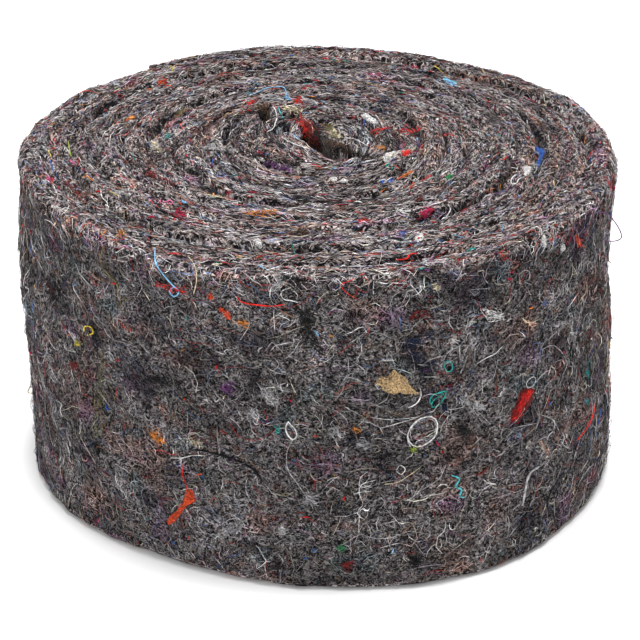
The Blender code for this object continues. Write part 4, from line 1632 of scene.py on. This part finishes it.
def felt_material():
    """Recycled felt: streaks and hair lines at several angles over mottled, faintly tinted ground, with dark
    pits, coloured flecks, paler, warmer cut edges and painted shade in the grooves and hollows."""
    colours = bpy.context.scene.felt_colours
    felt, tree, shader = new_material("recycled_felt")
    flat = node(tree, "ShaderNodeUVMap", uv_map="felt_place").outputs[0]
    place = node(tree, "ShaderNodeVectorMath", {0: flat, 3: 1.0 / MILLIMETRE}, operation="SCALE").outputs[0]
    wander = noise(tree, place, WANDER_SCALE).outputs["Color"]
    wander = node(tree, "ShaderNodeVectorMath", {0: wander, 1: (0.5, 0.5, 0.5)}, operation="SUBTRACT")
    calm = node(tree, "ShaderNodeAttribute", attribute_name="cut_edge").outputs["Fac"]
    reach = maths(tree, "MULTIPLY_ADD", calm, EDGE_WANDER - WALL_WANDER, WALL_WANDER)
    wander = node(tree, "ShaderNodeVectorMath", {0: wander.outputs[0], 3: reach}, operation="SCALE")
    place = node(tree, "ShaderNodeVectorMath", {0: place, 1: wander.outputs[0]}).outputs[0]
    # Painted shade of the grooves and hollows, carried by the strip's groove attribute
    groove = node(tree, "ShaderNodeAttribute", attribute_name="groove").outputs["Fac"]

    pale = strokes(tree, place, PALE_STROKES, *PALE_RANGE)
    dark = strokes(tree, place, DARK_STROKES, *DARK_RANGE)
    gaps = span(tree, noise(tree, place, HAIR_GAP_SCALE, 1.0).outputs[0], *HAIR_GAP_RANGE)
    hair = maths(tree, "MULTIPLY", hair_lines(tree, place, HAIR_LINES), gaps)
    patch = node(tree, "ShaderNodeAttribute", attribute_name="patch").outputs["Color"]

    lit = maths(tree, "MULTIPLY_ADD", pale, PALE_SHARE, LEAST_LIGHT)
    body = maths(tree, "MULTIPLY", lit, maths(tree, "MULTIPLY_ADD", dark, -DARK_SHARE, 1.0))
    speckle = noise(tree, place, SPECKLE_SCALE, roughness=SPECKLE_ROUGHNESS).outputs[0]
    body = maths(tree, "MULTIPLY", body, span(tree, speckle, *SPECKLE_RANGE))
    layers = stretched(tree, place, 0.0, LAYER_LENGTH, LAYER_WIDTH, LAYER_START)
    layers = span(tree, noise(tree, layers, 1.0, 1.0).outputs[0], *LAYER_RANGE)
    layers = maths(tree, "MULTIPLY_ADD", calm, maths(tree, "SUBTRACT", layers, 1.0), 1.0)
    body = maths(tree, "MULTIPLY", body, layers)
    colour = blend(tree, body, opaque(colours.ground), opaque(colours.middle))
    colour = blend(tree, maths(tree, "MULTIPLY", hair, HAIR_SHARE), colour, opaque(colours.pale))
    colour = blend(tree, 1.0, colour, patch, "MULTIPLY")
    for scale, share, start in FLECKS:
        colour = flecked(tree, place, scale, share, start, colour)
    # Painted shade: the colour is darkened towards the shaded ground in the grooves and hollows
    unshaded_share = maths(tree, "MULTIPLY_ADD", groove, -GROOVE_PAINTED_SHADE, 1.0)
    colour = blend(tree, unshaded_share, opaque(colours.ground), colour)

    height = maths(tree, "MULTIPLY_ADD", hair, HAIR_RISE, maths(tree, "SUBTRACT", pale, dark))
    bump = node(tree, "ShaderNodeBump", {**FELT_BUMP, "Height": height})
    tree.links.new(colour, shader.inputs["Base Color"])
    tree.links.new(bump.outputs[0], shader.inputs["Normal"])
    shader.inputs["Roughness"].default_value = FELT_ROUGHNESS
    shader.inputs["Sheen Weight"].default_value = FELT_SHEEN
    shader.inputs["Sheen Roughness"].default_value = SHEEN_ROUGHNESS
    shader.inputs["Specular IOR Level"].default_value = SPECULAR
    return felt


def fibre_material(name, sheen, grain_scale, darkest):
    """Fibre of the colour that each point carries, lighter and darker along its length."""
    made, tree, shader = new_material(name)
    tint = node(tree, "ShaderNodeAttribute", attribute_name="tint").outputs["Color"]
    place = node(tree, "ShaderNodeTexCoord").outputs["Object"]
    shade = noise(tree, place, grain_scale).outputs[0]
    shade = span(tree, shade, *FIBRE_GRAIN_RANGE, darkest, FIBRE_PALEST)
    grey = node(tree, "ShaderNodeCombineColor", {0: shade, 1: shade, 2: shade}).outputs[0]
    colour = blend(tree, 1.0, tint, grey, "MULTIPLY")
    height = noise(tree, place, FIBRE_BUMP_SCALE, 1.0).outputs[0]
    bump = node(tree, "ShaderNodeBump", {**FIBRE_BUMP, "Height": height})
    tree.links.new(colour, shader.inputs["Base Color"])
    tree.links.new(bump.outputs[0], shader.inputs["Normal"])
    shader.inputs["Roughness"].default_value = FIBRE_ROUGHNESS
    shader.inputs["Sheen Weight"].default_value = sheen
    shader.inputs["Specular IOR Level"].default_value = SPECULAR
    return made


def thread_material():
    """Spun thread: a fibre with a bump of fine twist lines, which are waves over its own length and
    round it."""
    made = fibre_material("loose_thread", *SCRAP_FINISH)
    tree = made.node_tree
    shader = tree.nodes["Principled BSDF"]
    flat = node(tree, "ShaderNodeUVMap", uv_map="twist").outputs[0]
    inputs = {"Vector": flat, "Scale": ONE_WAVE}
    lines = node(tree, "ShaderNodeTexWave", inputs, bands_direction="DIAGONAL")
    bump = node(tree, "ShaderNodeBump", {**TWIST_BUMP, "Height": lines.outputs["Fac"]})
    tree.links.new(bump.outputs[0], shader.inputs["Normal"])
    return made


class FELTROLL_OT_strip(bpy.types.Operator):
    """Wind the strip as a fine surface in place of the plain solid"""

    bl_idname = "feltroll.strip"
    bl_label = "Wind the strip"

    def execute(self, context):
        points, quads, felt, baked, near_edge, painted_shade_share, colours = wound_strip()
        strip = new_piece("felt_strip", points, quads.tolist(), felt_material())
        add_map(strip, "felt_place", felt)
        add_map(strip, "OFBake", baked)
        add_values(strip, "cut_edge", near_edge)
        # The groove attribute is the painted shade of the grooves and hollows
        add_values(strip, "groove", painted_shade_share)
        add_colours(strip, "patch", colours)
        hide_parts(NODE)
        return {"FINISHED"}


class FELTROLL_OT_wall_fibres(bpy.types.Operator):
    """Lay loose fibres on the outside of the roll and over its rim"""

    bl_idname = "feltroll.wall_fibres"
    bl_label = "Wall fibres"

    def execute(self, context):
        sizes = context.scene.felt_sizes
        rng = np.random.default_rng(WALL_DRAWS)
        material = fibre_material("wall_fibre", *LOOSE_FINISH)
        for name in ("wall_fibres_a", "wall_fibres_b"):
            count = sizes.wall_fibres // 2
            length = sizes.fibre_length * rng.lognormal(*WALL_FIBRE_LENGTHS, count)
            paths, patch = wall_paths(rng, length, FIBRE_KNOTS, FIBRE_BEND)
            radii = tapered(rng, count, FIBRE_KNOTS, sizes.fibre_radius)
            tube_piece(name, paths, radii, fibre_colours(rng, patch, WALL_BRIGHTNESS), material)
        count = sizes.long_hairs
        length = sizes.fibre_length * rng.uniform(*LONG_HAIR_LENGTHS, count)
        paths, patch = wall_paths(rng, length, HAIR_KNOTS, HAIR_BEND)
        radii = tapered(rng, count, HAIR_KNOTS, sizes.fibre_radius * HAIR_WIDTH)
        tube_piece("long_hairs", paths, radii, fibre_colours(rng, patch, HAIR_BRIGHTNESS), material)
        count = sizes.rim_fibres
        length = sizes.fibre_length * rng.uniform(*RIM_FIBRE_LENGTHS, count)
        radii = tapered(rng, count, FIBRE_KNOTS, sizes.fibre_radius)
        paths, patch = rim_paths(rng, count, length)
        tube_piece("rim_fibres", paths, radii, fibre_colours(rng, patch, EDGE_BRIGHTNESS), material)
        return {"FINISHED"}


class FELTROLL_OT_edge_fibres(bpy.types.Operator):
    """Lay loose fibres on both cut edges"""

    bl_idname = "feltroll.edge_fibres"
    bl_label = "Edge fibres"

    def execute(self, context):
        sizes = context.scene.felt_sizes
        rng = np.random.default_rng(EDGE_DRAWS)
        material = fibre_material("edge_fibre", *LOOSE_FINISH)
        batches = (
            ("edge_fibres_a", sizes.edge_fibres // 2, True),
            ("edge_fibres_b", sizes.edge_fibres // 2, True),
            ("foot_fibres", sizes.foot_fibres, False),
        )
        for name, count, top in batches:
            length = sizes.fibre_length * rng.lognormal(*EDGE_FIBRE_LENGTHS, count)
            paths, patch = edge_paths(rng, count, length, EDGE_KNOTS, top)
            radii = tapered(rng, len(paths), EDGE_KNOTS, sizes.fibre_radius)
            tube_piece(name, paths, radii, fibre_colours(rng, patch, EDGE_BRIGHTNESS), material)
        return {"FINISHED"}


class FELTROLL_OT_scraps(bpy.types.Operator):
    """Lay coloured scraps and fluff on the felt"""

    bl_idname = "feltroll.scraps"
    bl_label = "Scraps and fluff"

    def execute(self, context):
        rng = np.random.default_rng(SCRAP_DRAWS)
        seen, seen_colours = seen_scraps(rng, strip_tree())
        strewn, strewn_colours = strewn_scraps(rng)
        paths = np.concatenate((seen, strewn))
        colours = np.clip(np.concatenate((seen_colours, strewn_colours)), *SCRAP_LIMITS)
        radii = tapered(rng, len(paths), SCRAP_KNOTS, SCRAP_RADIUS)
        material = fibre_material("scrap_fibre", *SCRAP_FINISH)
        tube_piece("scraps", paths, radii, colours, material)
        return {"FINISHED"}


class FELTROLL_OT_chips(bpy.types.Operator):
    """Lay matted scraps and short ends of yarn on the felt"""

    bl_idname = "feltroll.chips"
    bl_label = "Matted scraps and neps"

    def execute(self, context):
        rng = np.random.default_rng(CHIP_DRAWS)
        points, faces, colours, baked = chips(rng, strip_tree())
        material = fibre_material("matted_scrap", *MATTED_FINISH)
        piece = new_piece("matted_scraps", points, faces.tolist(), material)
        add_colours(piece, "tint", colours)
        add_map(piece, "OFBake", baked)
        merged = bmesh.new()
        merged.from_mesh(piece.data)
        bmesh.ops.remove_doubles(merged, verts=merged.verts, dist=MERGE_DISTANCE)
        merged.to_mesh(piece.data)
        merged.free()
        tube_piece("neps", *strewn_neps(rng), material, THREAD_SIDES)
        return {"FINISHED"}


class FELTROLL_OT_threads(bpy.types.Operator):
    """Lay loose threads on the felt"""

    bl_idname = "feltroll.threads"
    bl_label = "Loose threads"

    def execute(self, context):
        rng = np.random.default_rng(THREAD_DRAWS)
        seen = seen_threads(strip_tree())
        strewn = strewn_threads(rng)
        paths, radii, colours = (np.concatenate(pair) for pair in zip(seen, strewn))
        uneven = rng.lognormal(0.0, THREAD_UNEVENNESS, (len(paths), THREAD_KNOTS))
        radii = radii[:, None] * taper(THREAD_KNOTS, *THREAD_TAPER) * uneven
        threads = tube_piece("threads", paths, radii, colours, thread_material(), THREAD_SIDES)
        add_map(threads, "twist", twist_map(paths, THREAD_SIDES))
        return {"FINISHED"}


def area_light(name, place, target, width, power):
    """A square soft light that faces a target."""
    data = bpy.data.lights.new(name, "AREA")
    data.size = width
    data.energy = power
    light = bpy.data.objects.new(name, data)
    light.location = place
    light.rotation_euler = (Vector(target) - Vector(place)).to_track_quat("-Z", "Y").to_euler()
    bpy.context.scene.collection.objects.link(light)


class FELTROLL_OT_stage(bpy.types.Operator):
    """Set up the pale floor, the soft lights and the camera"""

    bl_idname = "feltroll.stage"
    bl_label = "Stage"

    def execute(self, context):
        scene = context.scene
        mesh = bpy.data.meshes.new("floor")
        edge = FLOOR_WIDTH / 2.0
        corners = [(-edge, -edge, FLOOR_LEVEL), (edge, -edge, FLOOR_LEVEL), (edge, edge, FLOOR_LEVEL)]
        mesh.from_pydata(corners + [(-edge, edge, FLOOR_LEVEL)], [], [(0, 1, 2, 3)])
        pale, tree, shader = new_material("pale_floor")
        place = node(tree, "ShaderNodeTexCoord").outputs["Object"]
        mottle = noise(tree, place, FLOOR_GRAIN_SCALE).outputs[0]
        colour = blend(tree, mottle, *(opaque((shade,) * 3) for shade in FLOOR_SHADES))
        tree.links.new(colour, shader.inputs["Base Color"])
        shader.inputs["Roughness"].default_value = FLOOR_ROUGHNESS
        mesh.materials.append(pale)
        floor = bpy.data.objects.new("floor", mesh)
        scene.collection.objects.link(floor)
        world = bpy.data.worlds.new("studio")
        world.use_nodes = True
        background = world.node_tree.nodes["Background"]
        background.inputs["Color"].default_value = opaque(WORLD_COLOUR)
        background.inputs["Strength"].default_value = WORLD_STRENGTH
        scene.world = world
        for name, at, power, width in LIGHTS:
            area_light(name, at, (0.0, 0.0, STRIP_WIDTH / 2.0), width, power)
        data = bpy.data.cameras.new("camera")
        data.sensor_width = SENSOR_WIDTH / MILLIMETRE
        data.lens = FOCAL_PIXELS / PICTURE_SIDE * data.sensor_width
        camera = bpy.data.objects.new("camera", data)
        camera.location = camera_place()
        middle = PICTURE_SIDE / 2.0
        ahead = Vector(picture_ray(middle, middle))
        camera.rotation_euler = ahead.to_track_quat("-Z", "Y").to_euler()
        scene.collection.objects.link(camera)
        scene.camera = camera
        scene.view_settings.view_transform = "Standard"
        return {"FINISHED"}


class FELTROLL_PT_panel(bpy.types.Panel):
    """Steps that build the roll, and its sizes and colours"""

    bl_idname = "FELTROLL_PT_panel"
    bl_label = "Felt roll"
    bl_space_type = "VIEW_3D"
    bl_region_type = "UI"
    bl_category = "Felt roll"

    def draw(self, context):
        for operator in OPERATORS:
            self.layout.operator(operator.bl_idname)
        for group in (context.scene.felt_sizes, context.scene.felt_colours):
            for name in group.__annotations__:
                self.layout.prop(group, name)


OPERATORS = (
    FELTROLL_OT_strip,
    FELTROLL_OT_wall_fibres,
    FELTROLL_OT_edge_fibres,
    FELTROLL_OT_scraps,
    FELTROLL_OT_chips,
    FELTROLL_OT_threads,
    FELTROLL_OT_stage,
)
CLASSES = (FeltSizes, FeltColours, *OPERATORS, FELTROLL_PT_panel)


def register():
    """Register the classes and hang the two groups of values on the scene."""
    for each in CLASSES:
        bpy.utils.register_class(each)
    bpy.types.Scene.felt_sizes = PointerProperty(type=FeltSizes)
    bpy.types.Scene.felt_colours = PointerProperty(type=FeltColours)


def unregister():
    """Take away what register has added."""
    del bpy.types.Scene.felt_colours
    del bpy.types.Scene.felt_sizes
    for each in reversed(CLASSES):
        bpy.utils.unregister_class(each)


def main():
    """Build the roll and its stage."""
    register()
    bpy.ops.feltroll.strip()
    bpy.ops.feltroll.wall_fibres()
    bpy.ops.feltroll.edge_fibres()
    bpy.ops.feltroll.scraps()
    bpy.ops.feltroll.chips()
    bpy.ops.feltroll.threads()
    bpy.ops.feltroll.stage()


if __name__ == "__main__":
    main()
